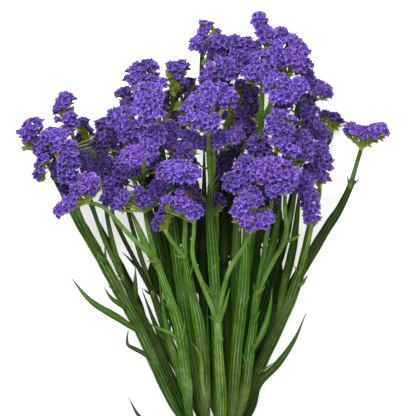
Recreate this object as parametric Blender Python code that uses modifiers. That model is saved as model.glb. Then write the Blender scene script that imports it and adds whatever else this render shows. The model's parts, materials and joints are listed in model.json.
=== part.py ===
"""A bunch of statice that lies on its side, with its stems held by a rubber band.

The stems run along Y. The origin is on the surface, under the middle of the band.
Picture-up in the reference is +Y, and its far side lies down on the surface at Z = 0.
Lengths are in millimetres until a mesh is made, which is in metres.
"""

import math
import random

import bmesh
import bpy
import numpy as np

MM = 0.001
SEED = 14

# The band, and where the stems pass through it
BAND_INNER = 15.9
BAND_OUTER = 17.6
BAND_HALF_WIDTH = 4.5
BAND_SIDES = 28
BAND_HEIGHT = 17.4
CUTTER_SIZE = (500.0, 700.0, 30.0)
CUTTER_MIDDLE_Y = 180.0
OUTER_RING_RADIUS = 13.35
INNER_RING_RADIUS = 9.05
CUT_END_Y = -112.0
CUT_END_SPREAD = 1.06
CUT_END_STAGGER = 0.05
STRAIGHT_TO_Y = 14.0

# The winged stems
WING_WIDTH = 11.0
WING_WIDTH_IN_BAND = 6.6
STEM_THICKNESS = 4.0
BODY_SHARE = 0.24
WIDENING_TO_Y = 90.0
TIP_SHARE = 0.62
STEM_SECTION_STEP = 6
BRANCH_WIDTH = 5.2
BRANCH_THICKNESS = 3.2
BRANCH_SECTION_STEP = 3
ROOT_SINK = 1.0
ROOT_SINK_STEP = 0.8
LEAF_THICKNESS = 1.5
LEAF_TIP_THINNING = 0.45
LEAF_FOOT_SHARE = 0.55
LEAF_TIP_HALF = 0.5
LEAF_SECTION_STEP = 2
LONG_LEAF_STEP = 4
LONG_LEAF_POINTS = 12
PATH_STEP = 8.0

# The heads, with florets about half as large again as real ones
CORE_SHARE = 0.46
SOCKET_GAP = 0.3
NECK_LENGTH = 1.0
NECK_RADIUS = 2.4
FULLNESS = 1.4
COMB_SIDES = 6
DEEP_COMB_SIDES = 5
DEEP_HEIGHT = 51.0
CUP_SPACING = 12.5
END_REACH = 0.62
END_SHARE = 0.7
END_CUP_RISE = 0.3
END_CUP_DEPTH = 0.4
RIM_PULL = 0.26
RIM_UNEVENNESS = 0.12
DIP_SHARE = 0.6
LEAST_CUP = 2.5
NECK_ROOM = 5.2
BACK_COSINE = -0.26
UPWARD_LEAN = 0.9
FLORET_GAP = 1.0

# How the bunch settles, so that nothing crosses
CLEARANCE = 1.0
SETTLE_ROUNDS = 400
SIDEWAYS_EASE = 0.35
UPWARD_EASE = 0.3
RETURN_SHARE = 0.98
NEAR_ROUNDS = 20
NEAR_REACH = 8.0
FLOOR_DIP = 0.5
HEAD_DIP_SHARE = 0.45

GREEN = (0.075, 0.19, 0.035, 1.0)
VIOLET = (0.13, 0.045, 0.52, 1.0)
RUBBER = (0.55, 0.38, 0.2, 1.0)

# Each stem: its ring in the band, its angle there from the top, and its route up to the crown
STEMS = {
    "far_left": (1, 261.8, [(-40, 54, 18), (-59, 95, 21), (-79, 140, 25), (-99, 177, 28),
                            (-118, 212, 30), (-142, 253, 32), (-166, 298, 31)]),
    "left": (1, 229.1, [(-32, 54, 13), (-52, 100, 17), (-75, 149, 22), (-95, 190, 26)]),
    "left_front": (1, 294.5, [(-27, 54, 33), (-30, 90, 42), (-38, 143, 54), (-53, 188, 62),
                              (-60, 209, 65)]),
    "left_back": (1, 196.4, [(-18, 54, 8), (-46, 119, 12), (-64, 173, 16)]),
    "centre_left": (1, 327.3, [(-10, 54, 42), (-12, 103, 55), (-17, 143, 64), (-26, 185, 73),
                               (-32, 213, 78)]),
    "forked": (1, 0.0, [(6, 54, 48), (4, 100, 62), (1, 150, 74)]),
    "centre_right": (1, 32.7, [(16, 54, 40), (21, 116, 52), (28, 182, 60), (30, 230, 66),
                               (31, 255, 70)]),
    "right_front": (1, 65.5, [(24, 54, 32), (29, 76, 37), (36, 129, 46), (41, 175, 53)]),
    "right": (1, 98.2, [(27, 54, 24), (39, 87, 28), (68, 149, 38), (85, 196, 46),
                        (97, 250, 52)]),
    "far_right": (1, 130.9, [(22, 60, 12), (50, 130, 16), (68, 164, 20), (87, 198, 25),
                             (110, 236, 28), (127, 263, 30), (140, 291, 31)]),
    "right_back": (1, 163.6, [(14, 54, 8), (35, 120, 10), (55, 180, 12), (72, 240, 14),
                              (84, 300, 16)]),
    "centre": (2, 0.0, [(2, 54, 32), (2, 120, 44), (-2, 200, 56), (-6, 250, 66),
                        (-5, 285, 76)]),
    "top_right": (2, 72.0, [(12, 54, 24), (20, 120, 30), (30, 200, 38), (38, 270, 46),
                            (44, 330, 54), (46, 350, 58)]),
    "top": (2, 144.0, [(3, 54, 14), (0, 150, 18), (-3, 250, 22), (-2, 320, 24),
                       (-4, 350, 26)]),
    "inner_left": (2, 216.0, [(-14, 54, 15), (-34, 120, 20), (-55, 200, 28), (-68, 260, 34),
                              (-74, 285, 36)]),
    "upper_left": (2, 288.0, [(-14, 54, 24), (-26, 120, 32), (-38, 200, 40), (-48, 270, 44),
                              (-55, 320, 52), (-57, 335, 56)]),
}

# Each head: its height, which of its lumps has the neck, and its lumps in a row (x, y, rise, width)
HEADS = {
    "left_fan": (32, 3, [(-178, 294, 16, 11), (-176, 304, 17, 11), (-173, 315, 14, 12),
                         (-180, 327, 0, 15), (-193, 330, 2, 17), (-184, 344, 3, 17)]),
    "left_spire": (45, 0, [(-148, 345, 0, 13), (-154, 358, 1, 19), (-151, 372, 2, 14)]),
    "left_shade": (6, 0, [(-118, 311, 0, 13), (-126, 321, 2, 13), (-136, 326, 0, 15),
                           (-134, 337, 2, 13), (-138, 348, 6, 11)]),
    "left_column": (62, 0, [(-147, 292, 0, 15), (-149, 304, 1, 17), (-153, 317, 2, 17),
                            (-156, 330, 0, 18), (-168, 334, 0, 15)]),
    "left_low": (84, 2, [(-122, 285, 1, 15), (-135, 286, 2, 17), (-138, 271, 0, 15),
                         (-149, 265, -3, 12), (-157, 259, -5, 10)]),
    "left_inner": (44, 0, [(-107, 270, 0, 13), (-109, 281, 1, 15), (-102, 293, 0, 14),
                           (-97, 305, 1, 14)]),
    "crest_left": (62, 0, [(-60, 386, 0, 17), (-73, 386, 3, 19), (-84, 392, -2, 14),
                           (-78, 402, -2, 12), (-66, 404, 0, 13)]),
    "crest_middle": (48, 0, [(-40, 388, 0, 17), (-48, 400, 2, 14), (-35, 403, 0, 14)]),
    "side_fan": (34, 0, [(-87, 366, 0, 14), (-92, 376, 2, 17)]),
    "left_dome": (98, 0, [(-67, 357, 0, 22), (-66, 374, 2, 22)]),
    "shade_middle": (22, 0, [(-32, 353, 0, 17), (-41, 364, 0, 17), (-41, 378, 2, 17),
                             (-27, 385, 3, 17)]),
    "shade_left": (22, 0, [(-103, 322, 0, 16), (-111, 334, 2, 17), (-114, 346, 2, 16)]),
    "left_middle": (60, 0, [(-86, 336, 0, 17), (-88, 350, 2, 21), (-101, 354, 0, 14)]),
    "inner_comb": (86, 1, [(-88, 320, -2, 14), (-75, 319, 0, 17), (-68, 330, 1, 16),
                           (-62, 342, 0, 16)]),
    "centre_shade": (76, 2, [(-26, 331, -4, 16), (-25, 317, 2, 18), (-39, 317, 0, 17),
                             (-43, 330, -2, 17), (-48, 341, -6, 15)]),
    "top_spire": (42, 1, [(-20, 428, 2, 12), (-13, 438, 0, 10), (-15, 447, 1, 10),
                          (-4, 446, 2, 9), (-1, 437, 0, 9)]),
    "top_row": (56, 0, [(25, 413, 0, 18), (37, 413, 0, 14), (34, 427, 0, 13),
                        (22, 428, 2, 13), (10, 429, 0, 14), (-3, 429, -2, 11)]),
    "top_peak": (64, 2, [(43, 453, 2, 12), (45, 443, 1, 12), (53, 433, 0, 18),
                         (65, 438, -2, 12)]),
    "upper_centre": (68, 0, [(-8, 391, 0, 14), (1, 402, 2, 17), (14, 401, 0, 17)]),
    "upper_right": (78, 1, [(36, 396, 0, 15), (48, 395, 0, 17), (49, 410, 2, 18)]),
    "right_crest": (74, 1, [(65, 419, 2, 21), (77, 406, 0, 20), (87, 417, -3, 12),
                            (76, 430, -2, 12)]),
    "right_dome": (98, 0, [(59, 381, 0, 24), (72, 375, -3, 15), (82, 384, -4, 13)]),
    "deep_centre": (18, 2, [(44, 327, 2, 18), (33, 338, 1, 21), (19, 350, 0, 22),
                            (25, 367, 0, 21), (24, 384, 2, 18)]),
    "edge_comb": (52, 1, [(89, 407, 2, 13), (91, 394, 0, 13), (100, 387, 0, 11),
                          (109, 379, 1, 15)]),
    "edge_low": (38, 1, [(108, 336, 0, 13), (96, 346, 0, 14), (95, 358, 2, 13),
                         (89, 370, 0, 14)]),
    "edge_fan": (5, 0, [(122, 350, 0, 15), (112, 354, 2, 13)]),
    "right_lone": (34, 1, [(139, 340, 1, 15), (152, 334, 0, 18), (167, 339, 1, 16)]),
    "right_pair": (84, 0, [(84, 313, 0, 20), (87, 329, 2, 16)]),
    "right_outer": (66, 0, [(106, 294, 0, 16), (107, 307, 2, 16), (103, 320, 0, 16)]),
    "right_mass": (92, 1, [(75, 320, -2, 15), (61, 331, 0, 19), (66, 347, 2, 24)]),
    "middle_right": (84, 1, [(49, 311, 0, 14), (41, 323, 0, 20)]),
    "middle_light": (120, 0, [(-8, 346, 0, 19), (-24, 352, 2, 21), (-16, 366, 0, 17),
                              (-3, 377, -8, 17), (11, 371, -10, 18)]),
    "middle_fan": (100, 0, [(-6, 328, 0, 16), (6, 329, 2, 17), (17, 334, 0, 15)]),
    "front_left": (112, 1, [(-50, 297, 1, 17), (-37, 298, 0, 19), (-24, 295, -2, 15)]),
    "left_sprig": (50, 0, [(-86, 298, 0, 15), (-76, 309, 1, 15), (-63, 305, 3, 15)]),
    "low_left": (68, 2, [(-95, 265, 0, 14), (-84, 276, 1, 17), (-73, 268, 0, 14),
                         (-62, 270, 0, 13), (-57, 282, 2, 15)]),
    "low_front": (97, 0, [(-22, 257, 0, 14), (-33, 261, 2, 15), (-36, 272, 1, 15),
                          (-47, 267, -2, 13)]),
    "low_sprig": (72, 0, [(-55, 246, 0, 14), (-50, 257, 0, 13)]),
    "low_centre": (46, 0, [(1, 267, 0, 17), (-9, 259, 0, 13), (-20, 267, 0, 14),
                           (-26, 280, 1, 15)]),
    "front_right": (122, 3, [(43, 297, 1, 18), (57, 300, 3, 20), (71, 296, 0, 17),
                             (68, 283, 0, 14), (57, 282, 0, 13)]),
    "front_middle": (96, 1, [(18, 286, 2, 19), (31, 290, 0, 16), (30, 304, 1, 18)]),
    "front_low": (108, 1, [(50, 252, -3, 13), (38, 246, 0, 15), (25, 250, -1, 15),
                           (26, 263, 1, 14), (36, 272, 1, 17)]),
    "right_low": (74, 0, [(95, 255, 0, 13), (93, 267, 1, 13), (89, 280, 0, 14),
                          (87, 294, 0, 14)]),
}

# Each branch: the head that it bears, what it grows from, the Y where it leaves that, and its bends
BRANCHES = [
    ("left_fan", "far_left", 294, [(-174, 313, 30)]),
    ("left_column", "far_left", 212, [(-138, 255, 44)]),
    ("left_spire", "left", 188, [(-118, 240, 32), (-136, 300, 36)]),
    ("left_shade", "left", 188, [(-110, 245, 16)]),
    ("left_low", "left_front", 207, [(-88, 236, 70), (-112, 262, 76)]),
    ("low_left", "left_front", 207, [(-68, 240, 64)]),
    ("left_inner", "left_back", 170, [(-90, 222, 22), (-104, 252, 34)]),
    ("shade_left", "left_back", 170, [(-80, 222, 13), (-98, 290, 14)]),
    ("low_sprig", "centre_left", 211, [(-46, 231, 76)]),
    ("front_left", "centre_left", 211, [(-31, 248, 79), (-33, 274, 88)]),
    ("low_front", "forked", 148, [(-12, 182, 82), (-23, 213, 90), (-22, 240, 93)]),
    ("front_low", "forked", 148, [(12, 196, 84), (27, 222, 92)]),
    ("front_middle", "centre_right", 252, [(31, 270, 80)]),
    ("middle_right", "centre_right", 252, [(38, 285, 69), (41, 303, 74)]),
    ("front_right", "right_front", 172, [(56, 205, 64), (70, 232, 76), (69, 258, 94)]),
    ("right_pair", "front_right", 222, [(77, 262, 62), (82, 290, 67)]),
    ("right_mass", "right_front", 172, [(49, 220, 56), (57, 275, 62)]),
    ("right_outer", "right", 246, [(104, 272, 57)]),
    ("right_low", "right", 194, [(93, 232, 62)]),
    ("right_lone", "far_right", 287, [(146, 315, 31)]),
    ("edge_low", "right_back", 296, [(90, 325, 26)]),
    ("edge_comb", "right_back", 296, [(80, 335, 24), (84, 370, 38)]),
    ("edge_fan", "right_back", 296, [(103, 314, 10), (117, 331, 10)]),
    ("middle_light", "centre", 282, [(-7, 310, 92)]),
    ("middle_fan", "centre", 282, [(-3, 305, 86)]),
    ("low_centre", "centre", 200, [(1, 232, 48)]),
    ("right_dome", "top_right", 347, [(52, 360, 74)]),
    ("upper_right", "top_right", 338, [(46, 370, 62)]),
    ("right_crest", "top_right", 347, [(60, 375, 60), (72, 392, 64)]),
    ("top_peak", "top_right", 347, [(47, 380, 50), (48, 412, 52)]),
    ("top_spire", "top", 347, [(-14, 390, 32), (-14, 415, 36)]),
    ("top_row", "top", 339, [(6, 378, 36), (18, 398, 46)]),
    ("upper_centre", "top", 331, [(-7, 370, 48)]),
    ("shade_middle", "top", 307, [(-17, 335, 24)]),
    ("deep_centre", "top", 310, [(3, 337, 20)]),
    ("left_dome", "upper_left", 332, [(-62, 343, 76)]),
    ("crest_left", "upper_left", 332, [(-58, 358, 56)]),
    ("crest_middle", "upper_left", 332, [(-46, 360, 50)]),
    ("centre_shade", "upper_left", 268, [(-45, 292, 64)]),
    ("left_middle", "inner_left", 282, [(-90, 312, 34), (-88, 326, 46)]),
    ("side_fan", "inner_left", 282, [(-80, 320, 30), (-84, 350, 31)]),
    ("inner_comb", "inner_left", 282, [(-73, 298, 66)]),
    ("left_sprig", "inner_left", 258, [(-79, 280, 42)]),
]

# Each leaf: the stem or branch that bears it, the Y of its foot, its route to the tip, and its width
LEAVES = [
    ("far_left", 138, [(-100, 150, 30), (-128, 168, 34), (-148, 192, 33)], 8.0),
    ("far_left", 158, [(-106, 170, 34), (-114, 182, 36)], 5.0),
    ("far_left", 108, [(-78, 116, 24), (-90, 123, 28), (-89, 138, 32)], 5.0),
    ("far_left", 28, [(-52, 38, 22), (-76, 47, 24), (-90, 70, 28)], 6.4),
    ("left", 160, [(-82, 178, 34), (-82, 202, 38)], 5.6),
    ("left_back", 165, [(-71, 192, 12), (-84, 205, 14), (-96, 217, 16)], 5.6),
    ("left_front", 122, [(-44, 134, 52), (-62, 142, 54), (-70, 148, 56)], 5.0),
    ("centre_left", 66, [(-14, 90, 56), (-15, 111, 62), (-24, 126, 66)], 6.0),
    ("forked", 146, [(9, 164, 78), (14, 182, 82)], 5.0),
    ("right_front", 174, [(44, 195, 64), (48, 222, 70)], 5.0),
    ("right_front", 110, [(46, 134, 54), (54, 158, 58), (57, 182, 62)], 7.0),
    ("front_right", 226, [(78, 231, 80), (85, 236, 84)], 4.6),
    ("right", 22, [(35, 54, 20), (43, 82, 26), (62, 102, 34), (80, 128, 38), (92, 156, 40)], 9.6),
    ("right", 178, [(86, 184, 46), (93, 194, 50)], 4.6),
    ("edge_comb", 340, [(84, 352, 18), (88, 376, 14)], 7.0),
    ("right_back", 130, [(50, 150, 8), (70, 172, 9)], 6.0),
    ("left", 140, [(-82, 170, 12), (-105, 215, 14), (-132, 270, 18)], 10.0),
    ("left_back", 60, [(-38, 92, 5), (-58, 132, 6), (-76, 178, 6)], 8.0),
    ("inner_left", 90, [(-34, 130, 10), (-45, 180, 10), (-57, 255, 14)], 11.0),
    ("upper_left", 80, [(-20, 120, 14), (-25, 180, 14), (-31, 265, 18)], 11.0),
    ("top", 80, [(-8, 120, 10), (-13, 180, 10), (-12, 250, 12), (-12, 340, 14)], 11.0),
    ("top", 40, [(-7, 75, 22), (-8, 120, 24), (-9, 165, 26)], 6.4),
    ("top_right", 70, [(12, 120, 12), (9, 180, 10), (8, 250, 10), (3, 345, 8)], 11.0),
    ("top_right", 100, [(20, 150, 24), (21, 210, 30), (22, 270, 38), (23, 345, 44)], 12.0),
    ("right_back", 110, [(36, 150, 8), (41, 195, 8), (47, 265, 10)], 10.0),
    ("left_front", 195, [(-68, 218, 50), (-80, 245, 50), (-90, 268, 50)], 8.0),
    ("right_front", 150, [(47, 190, 38), (60, 235, 40), (68, 295, 42)], 10.0),
    ("right", 140, [(69, 180, 32), (80, 230, 28), (87, 295, 26)], 10.0),
    ("left_front", 60, [(-38, 95, 34), (-50, 140, 38), (-58, 190, 42)], 9.0),
]


def unit(vector):
    return vector / max(float(np.linalg.norm(vector)), 1e-9)


def smooth_route(points, step):
    """Points at an even step along a smooth curve through the route's own points."""
    points = np.array(points, float)
    before = 2 * points[0] - points[1]
    after = 2 * points[-1] - points[-2]
    held = np.vstack([before, points, after])
    fine = []
    for i in range(1, len(held) - 2):
        a, b, c, d = held[i - 1 : i + 3]
        for t in np.arange(0.0, 1.0, 0.05):
            fine.append(0.5 * (2 * b + (c - a) * t + (2 * a - 5 * b + 4 * c - d) * t**2
                               + (3 * b - a - 3 * c + d) * t**3))
    fine.append(points[-1])
    fine = np.array(fine)
    run = np.concatenate([[0], np.cumsum(np.linalg.norm(np.diff(fine, axis=0), axis=1))])
    count = max(3, round(run[-1] / step) + 1)
    even = np.linspace(0, run[-1], count)
    return np.stack([np.interp(even, run, fine[:, k]) for k in range(3)], axis=1)


def place_in_band(ring, degrees):
    radius = OUTER_RING_RADIUS if ring == 1 else INNER_RING_RADIUS
    turn = math.radians(degrees)
    return np.array([radius * math.sin(turn), 0.0, radius * math.cos(turn)])


def eased(low, high, value):
    share = min(max((value - low) / (high - low), 0.0), 1.0)
    return share * share * (3 - 2 * share)


def wing_width(y):
    return WING_WIDTH_IN_BAND + (WING_WIDTH - WING_WIDTH_IN_BAND) * eased(
        STRAIGHT_TO_Y, WIDENING_TO_Y, y)


class Chain:
    """A stem, branch or leaf: its centre line, what it grows from, and the head at its end."""

    def __init__(self, kind, owner, points, parent=None, start=0, head=None, width=0.0, turn=0):
        self.kind = kind
        self.owner = owner
        self.points = points
        self.parent = parent
        self.start = start
        self.head = head
        self.width = width
        self.turn = turn
        self.aim = None

    def room(self):
        """How far each point keeps others away."""
        if self.kind == "stem":
            return np.array([0.5 * wing_width(y) for y in self.points[:, 1]])
        half = 0.5 * (BRANCH_WIDTH if self.kind == "branch" else self.width)
        return np.full(len(self.points), half)


def lump_centres(name):
    height, _, lumps = HEADS[name]
    return np.array([(x, y, height + rise) for x, y, rise, _ in lumps], float)


def lump_radii(name):
    return np.array([lump[3] / 2 * FULLNESS for lump in HEADS[name][2]], float)


def neck_reach(name):
    """How far the branch ends from the middle of the lump that it bears."""
    return lump_radii(name)[HEADS[name][1]] + NECK_LENGTH + SOCKET_GAP


def head_spots(name):
    """The middles and radii of a head's lumps, and of the places half-way between them."""
    centres = lump_centres(name)
    radii = lump_radii(name)
    between = (centres[1:] + centres[:-1]) / 2
    return np.vstack([centres, between]), np.concatenate([radii, (radii[1:] + radii[:-1]) / 2])


def foot_on(chain, y):
    return int(np.argmin(np.abs(chain.points[:, 1] - y)))


def drawn_chains():
    """All centre lines as drawn, before the bunch settles."""
    chains = []
    by_name = {}
    for name, (ring, degrees, route) in STEMS.items():
        slot = place_in_band(ring, degrees)
        up = np.array([0.0, 0.0, BAND_HEIGHT])
        cut = slot * CUT_END_SPREAD + up + np.array([0, CUT_END_Y + CUT_END_STAGGER * degrees, 0])
        low = slot + up + np.array([0, -STRAIGHT_TO_Y, 0])
        high = slot + up + np.array([0, STRAIGHT_TO_Y, 0])
        spread = smooth_route([high] + route, PATH_STEP)
        chain = Chain("stem", name, np.vstack([cut, low, spread]))
        chains.append(chain)
        by_name[name] = chain
    for turn, (head, parent_name, y, bends) in enumerate(BRANCHES):
        parent = by_name[parent_name]
        start = foot_on(parent, y)
        middle = lump_centres(head)[HEADS[head][1]]
        back = unit(np.array(bends[-1], float) - middle)
        end = middle + back * neck_reach(head)
        route = [parent.points[start]] + bends + [end]
        chain = Chain("branch", parent.owner, smooth_route(route, PATH_STEP), parent, start, head,
                      turn=turn % 4)
        chains.append(chain)
        by_name[head] = chain
    for parent_name, y, route, width in LEAVES:
        parent = by_name[parent_name]
        start = foot_on(parent, y)
        points = smooth_route([parent.points[start]] + route, PATH_STEP)
        chains.append(Chain("leaf", parent.owner, points, parent, start, None, width))
    return chains


def settled_bunch():
    """The chains and the lumps of each head, moved apart until none is in another's way."""
    chains = drawn_chains()
    owners = list(STEMS)
    heads = list(HEADS)
    places, rooms, groups, bears = [], [], [], []
    spans = {}
    for chain in chains:
        at = sum(len(p) for p in places)
        spans[chain] = slice(at, at + len(chain.points))
        places.append(chain.points)
        rooms.append(chain.room())
        groups.append(np.full(len(chain.points), owners.index(chain.owner)))
        borne = len(owners) + heads.index(chain.head) if chain.head else -1
        bears.append(np.full(len(chain.points), borne))
    for i, name in enumerate(heads):
        spots, radii = head_spots(name)
        at = sum(len(p) for p in places)
        spans[name] = slice(at, at + len(spots))
        places.append(spots)
        rooms.append(radii)
        groups.append(np.full(len(spots), len(owners) + i))
        bears.append(np.full(len(spots), -1))
    drawn = np.vstack(places)
    room = np.concatenate(rooms)
    group = np.concatenate(groups)
    borne = np.concatenate(bears)
    moved = np.zeros_like(drawn)
    held = np.zeros(len(drawn), bool)
    for chain in chains:
        if chain.kind == "stem":
            held[spans[chain]] = chain.points[:, 1] < STRAIGHT_TO_Y + 1
    lowest = np.where(group < len(owners), room - FLOOR_DIP, room * (1 - HEAD_DIP_SHARE))
    for turn in range(SETTLE_ROUNDS):
        if turn % NEAR_ROUNDS == 0:
            now = drawn + moved
            apart = np.linalg.norm(now[:, None, :] - now[None, :, :], axis=2)
            close = apart < room[:, None] + room[None, :] + CLEARANCE + NEAR_REACH
            close &= group[:, None] != group[None, :]
            close &= borne[:, None] != group[None, :]
            close &= group[:, None] != borne[None, :]
            close &= ~(held[:, None] & held[None, :])
            firsts, seconds = np.nonzero(np.triu(close, 1))
        gap = drawn[firsts] + moved[firsts] - drawn[seconds] - moved[seconds]
        length = np.maximum(np.linalg.norm(gap, axis=1), 1e-6)
        lacking = room[firsts] + room[seconds] + CLEARANCE - length
        hit = lacking > 0
        one, two = firsts[hit], seconds[hit]
        way = gap[hit] / length[hit, None]
        way[:, :2] *= SIDEWAYS_EASE
        way[:, 2] += UPWARD_EASE * np.sign(drawn[one, 2] - drawn[two, 2] + 0.01)
        step = way * (0.5 * lacking[hit])[:, None]
        push = np.zeros_like(drawn)
        hits = np.zeros(len(drawn))
        np.add.at(push, one, step)
        np.add.at(push, two, -step)
        np.add.at(hits, one, 1)
        np.add.at(hits, two, 1)
        moved += push / np.maximum(hits, 1)[:, None]
        moved[:, :2] *= RETURN_SHARE
        for name in heads:
            part = spans[name]
            busy = hits[part] > 0
            shift = moved[part][busy].mean(axis=0) if busy.any() else moved[part].mean(axis=0)
            short = (lowest[part] - drawn[part, 2] - shift[2]).max()
            shift[2] += max(short, 0.0)
            moved[part] = shift
        for chain in chains:
            part = spans[chain]
            line = moved[part]
            line[1:-1] = 0.5 * line[1:-1] + 0.25 * (line[:-2] + line[2:])
            line[-1] = 0.5 * (line[-1] + line[-2])
            if chain.parent is not None:
                line[0] = moved[spans[chain.parent]][chain.start]
            if chain.head:
                line[-1] = moved[spans[chain.head]][0]
                line[-2] = 0.5 * (line[-1] + line[-3])
            free = ~held[part]
            line[~free] = 0.0
            under = lowest[part] - drawn[part, 2] - line[:, 2]
            line[free, 2] += np.maximum(under[free], 0.0)
            moved[part] = line
    for chain in chains:
        chain.points = chain.points + moved[spans[chain]]
    lumps = {name: lump_centres(name) + moved[spans[name]][0] for name in heads}
    for chain in chains:
        if chain.head:
            chain.aim = lumps[chain.head][HEADS[chain.head][1]]
    return chains, lumps


def clear_scene():
    for thing in list(bpy.data.objects):
        bpy.data.objects.remove(thing, do_unlink=True)
    for group in list(bpy.data.collections):
        bpy.data.collections.remove(group)


def new_collection(name):
    made = bpy.data.collections.new(name)
    bpy.context.scene.collection.children.link(made)
    return made


def new_material(name, colour, roughness):
    made = bpy.data.materials.new(name)
    made.use_nodes = True
    shader = made.node_tree.nodes["Principled BSDF"]
    shader.inputs["Base Color"].default_value = colour
    shader.inputs["Roughness"].default_value = roughness
    shader.inputs["Metallic"].default_value = 0.0
    return made


def object_of(name, shape, collection):
    """An object from a bmesh in millimetres, with its faces turned out."""
    bmesh.ops.recalc_face_normals(shape, faces=shape.faces)
    bmesh.ops.scale(shape, vec=(MM, MM, MM), verts=shape.verts)
    mesh = bpy.data.meshes.new(name)
    shape.to_mesh(mesh)
    shape.free()
    made = bpy.data.objects.new(name, mesh)
    collection.objects.link(made)
    return made


def side_of(path, i, facing):
    """The direction across a centre line, for a blade that faces this way."""
    ahead = unit(path[min(i + 1, len(path) - 1)] - path[max(i - 1, 0)])
    side = np.cross(ahead, facing)
    if np.linalg.norm(side) < 0.05:
        side = np.cross(ahead, np.array([1.0, 0.0, 0.0]))
    side = unit(side)
    return side, unit(np.cross(side, ahead))


def loft(path, outlines):
    """A closed tube through one outline of (across, out) pairs at each point of the path."""
    shape = bmesh.new()
    rings = []
    for point, (side, out, outline) in zip(path, outlines):
        rings.append([shape.verts.new(point + side * a + out * b) for a, b in outline])
    for low, high in zip(rings, rings[1:]):
        for k in range(len(low)):
            after = (k + 1) % len(low)
            shape.faces.new((low[k], low[after], high[after], high[k]))
    shape.faces.new(list(reversed(rings[0])))
    shape.faces.new(rings[-1])
    return shape


def winged_outline(width, thickness):
    body = BODY_SHARE * width
    half = thickness / 2
    return [(width / 2, 0), (body, half), (-body, half), (-width / 2, 0), (-body, -half), (body, -half)]


def thinned(path, step):
    """Every few points of a centre line, always with both ends."""
    count = max(2, round((len(path) - 1) / step) + 1)
    return [int(i) for i in np.round(np.linspace(0, len(path) - 1, count))]


def stem_shape(chain):
    """A winged stem: flat, thick in the middle, turned to lie round the others in the band."""
    path = chain.points
    leaves_band = foot_on(chain, STRAIGHT_TO_Y)
    picks = [0, foot_on(chain, -STRAIGHT_TO_Y)]
    picks += [leaves_band + i for i in thinned(path[leaves_band:], STEM_SECTION_STEP)]
    slot = unit(place_in_band(*STEMS[chain.owner][:2]))
    outlines = []
    for i in picks:
        y = path[i, 1]
        share = eased(STRAIGHT_TO_Y, WIDENING_TO_Y, y)
        facing = slot * (1 - share) + np.array([0, 0, 1.0 if slot[2] >= 0 else -1.0]) * share
        side, out = side_of(path, i, unit(facing))
        left = (len(path) - 1 - i) * PATH_STEP
        shrink = TIP_SHARE + (1 - TIP_SHARE) * eased(0, 80, left)
        outline = winged_outline(wing_width(y) * shrink, STEM_THICKNESS * shrink)
        outlines.append((side, out, outline))
    return loft([path[i] for i in picks], outlines)


def branch_shape(chain):
    """A slim branch, sunk into what it grows from and cut square under the neck of its head."""
    path = chain.points.copy()
    path[0] -= unit(path[1] - path[0]) * (ROOT_SINK + ROOT_SINK_STEP * chain.turn)
    last = len(path) - 1
    picks = sorted(set(thinned(path, BRANCH_SECTION_STEP)) | {last - 1})
    outlines = []
    for i in picks:
        line, at = (path, i) if i < last else (np.array([path[-1], chain.aim]), 0)
        side, out = side_of(line, at, np.array([0.0, 0.0, 1.0]))
        wide, thick = BRANCH_WIDTH / 2, BRANCH_THICKNESS / 2
        if i == last:
            wide, thick = NECK_RADIUS, NECK_RADIUS
        outlines.append((side, out, [(wide, 0), (0, thick), (-wide, 0), (0, -thick)]))
    return loft([path[i] for i in picks], outlines)


def leaf_shape(chain):
    """A narrow blade, thick at its midrib, widest in its lower half and cut short at the tip."""
    path = chain.points
    picks = thinned(path, LEAF_SECTION_STEP if len(path) < LONG_LEAF_POINTS else LONG_LEAF_STEP)
    outlines = []
    for i in picks:
        share = i / (len(path) - 1)
        swell = LEAF_FOOT_SHARE + (1 - LEAF_FOOT_SHARE) * math.sin(math.pi * share)
        wide = chain.width / 2 * swell * (1 - share**3) + LEAF_TIP_HALF * share**3
        thick = LEAF_THICKNESS / 2 * (1 - LEAF_TIP_THINNING * share)
        side, out = side_of(path, i, np.array([0.0, 0.0, 1.0]))
        outlines.append((side, out, [(wide, 0), (0, thick), (-wide, 0), (0, -thick)]))
    return loft([path[i] for i in picks], outlines)


def joined(name, pieces, material):
    """One closed body from overlapping pieces, with the pieces then removed."""
    whole = pieces[0]
    whole.name = name
    whole.data.name = name
    spare = bpy.data.collections.new(name + "_pieces")
    bpy.context.scene.collection.children.link(spare)
    for piece in pieces[1:]:
        for holder in list(piece.users_collection):
            holder.objects.unlink(piece)
        spare.objects.link(piece)
    union = whole.modifiers.new("Union", "BOOLEAN")
    union.operation = "UNION"
    union.operand_type = "COLLECTION"
    union.collection = spare
    union.solver = "MANIFOLD"
    apply_modifiers(whole)
    for piece in pieces[1:]:
        bpy.data.objects.remove(piece, do_unlink=True)
    bpy.data.collections.remove(spare)
    keep_outer_body(whole.data)
    whole.data.materials.clear()
    whole.data.materials.append(material)
    return whole


def apply_modifiers(thing):
    bpy.context.view_layer.update()
    viewed = thing.evaluated_get(bpy.context.evaluated_depsgraph_get())
    mesh = bpy.data.meshes.new_from_object(viewed)
    mesh.name = thing.name
    thing.modifiers.clear()
    thing.data = mesh


def keep_outer_body(mesh):
    """Fills sealed hollows and drops loose scraps: only the largest shell stays."""
    shape = bmesh.new()
    shape.from_mesh(mesh)
    bmesh.ops.remove_doubles(shape, verts=shape.verts, dist=1e-6)
    bmesh.ops.triangulate(shape, faces=shape.faces)
    unseen = set(shape.verts)
    shells = []
    while unseen:
        seed = unseen.pop()
        shell = {seed}
        edge = [seed]
        while edge:
            vertex = edge.pop()
            for link in vertex.link_edges:
                other = link.other_vert(vertex)
                if other in unseen:
                    unseen.remove(other)
                    shell.add(other)
                    edge.append(other)
        shells.append(shell)
    largest = max(shells, key=len)
    for shell in shells:
        if shell is not largest:
            bmesh.ops.delete(shape, geom=list(shell), context="VERTS")
    shape.to_mesh(mesh)
    shape.free()


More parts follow.
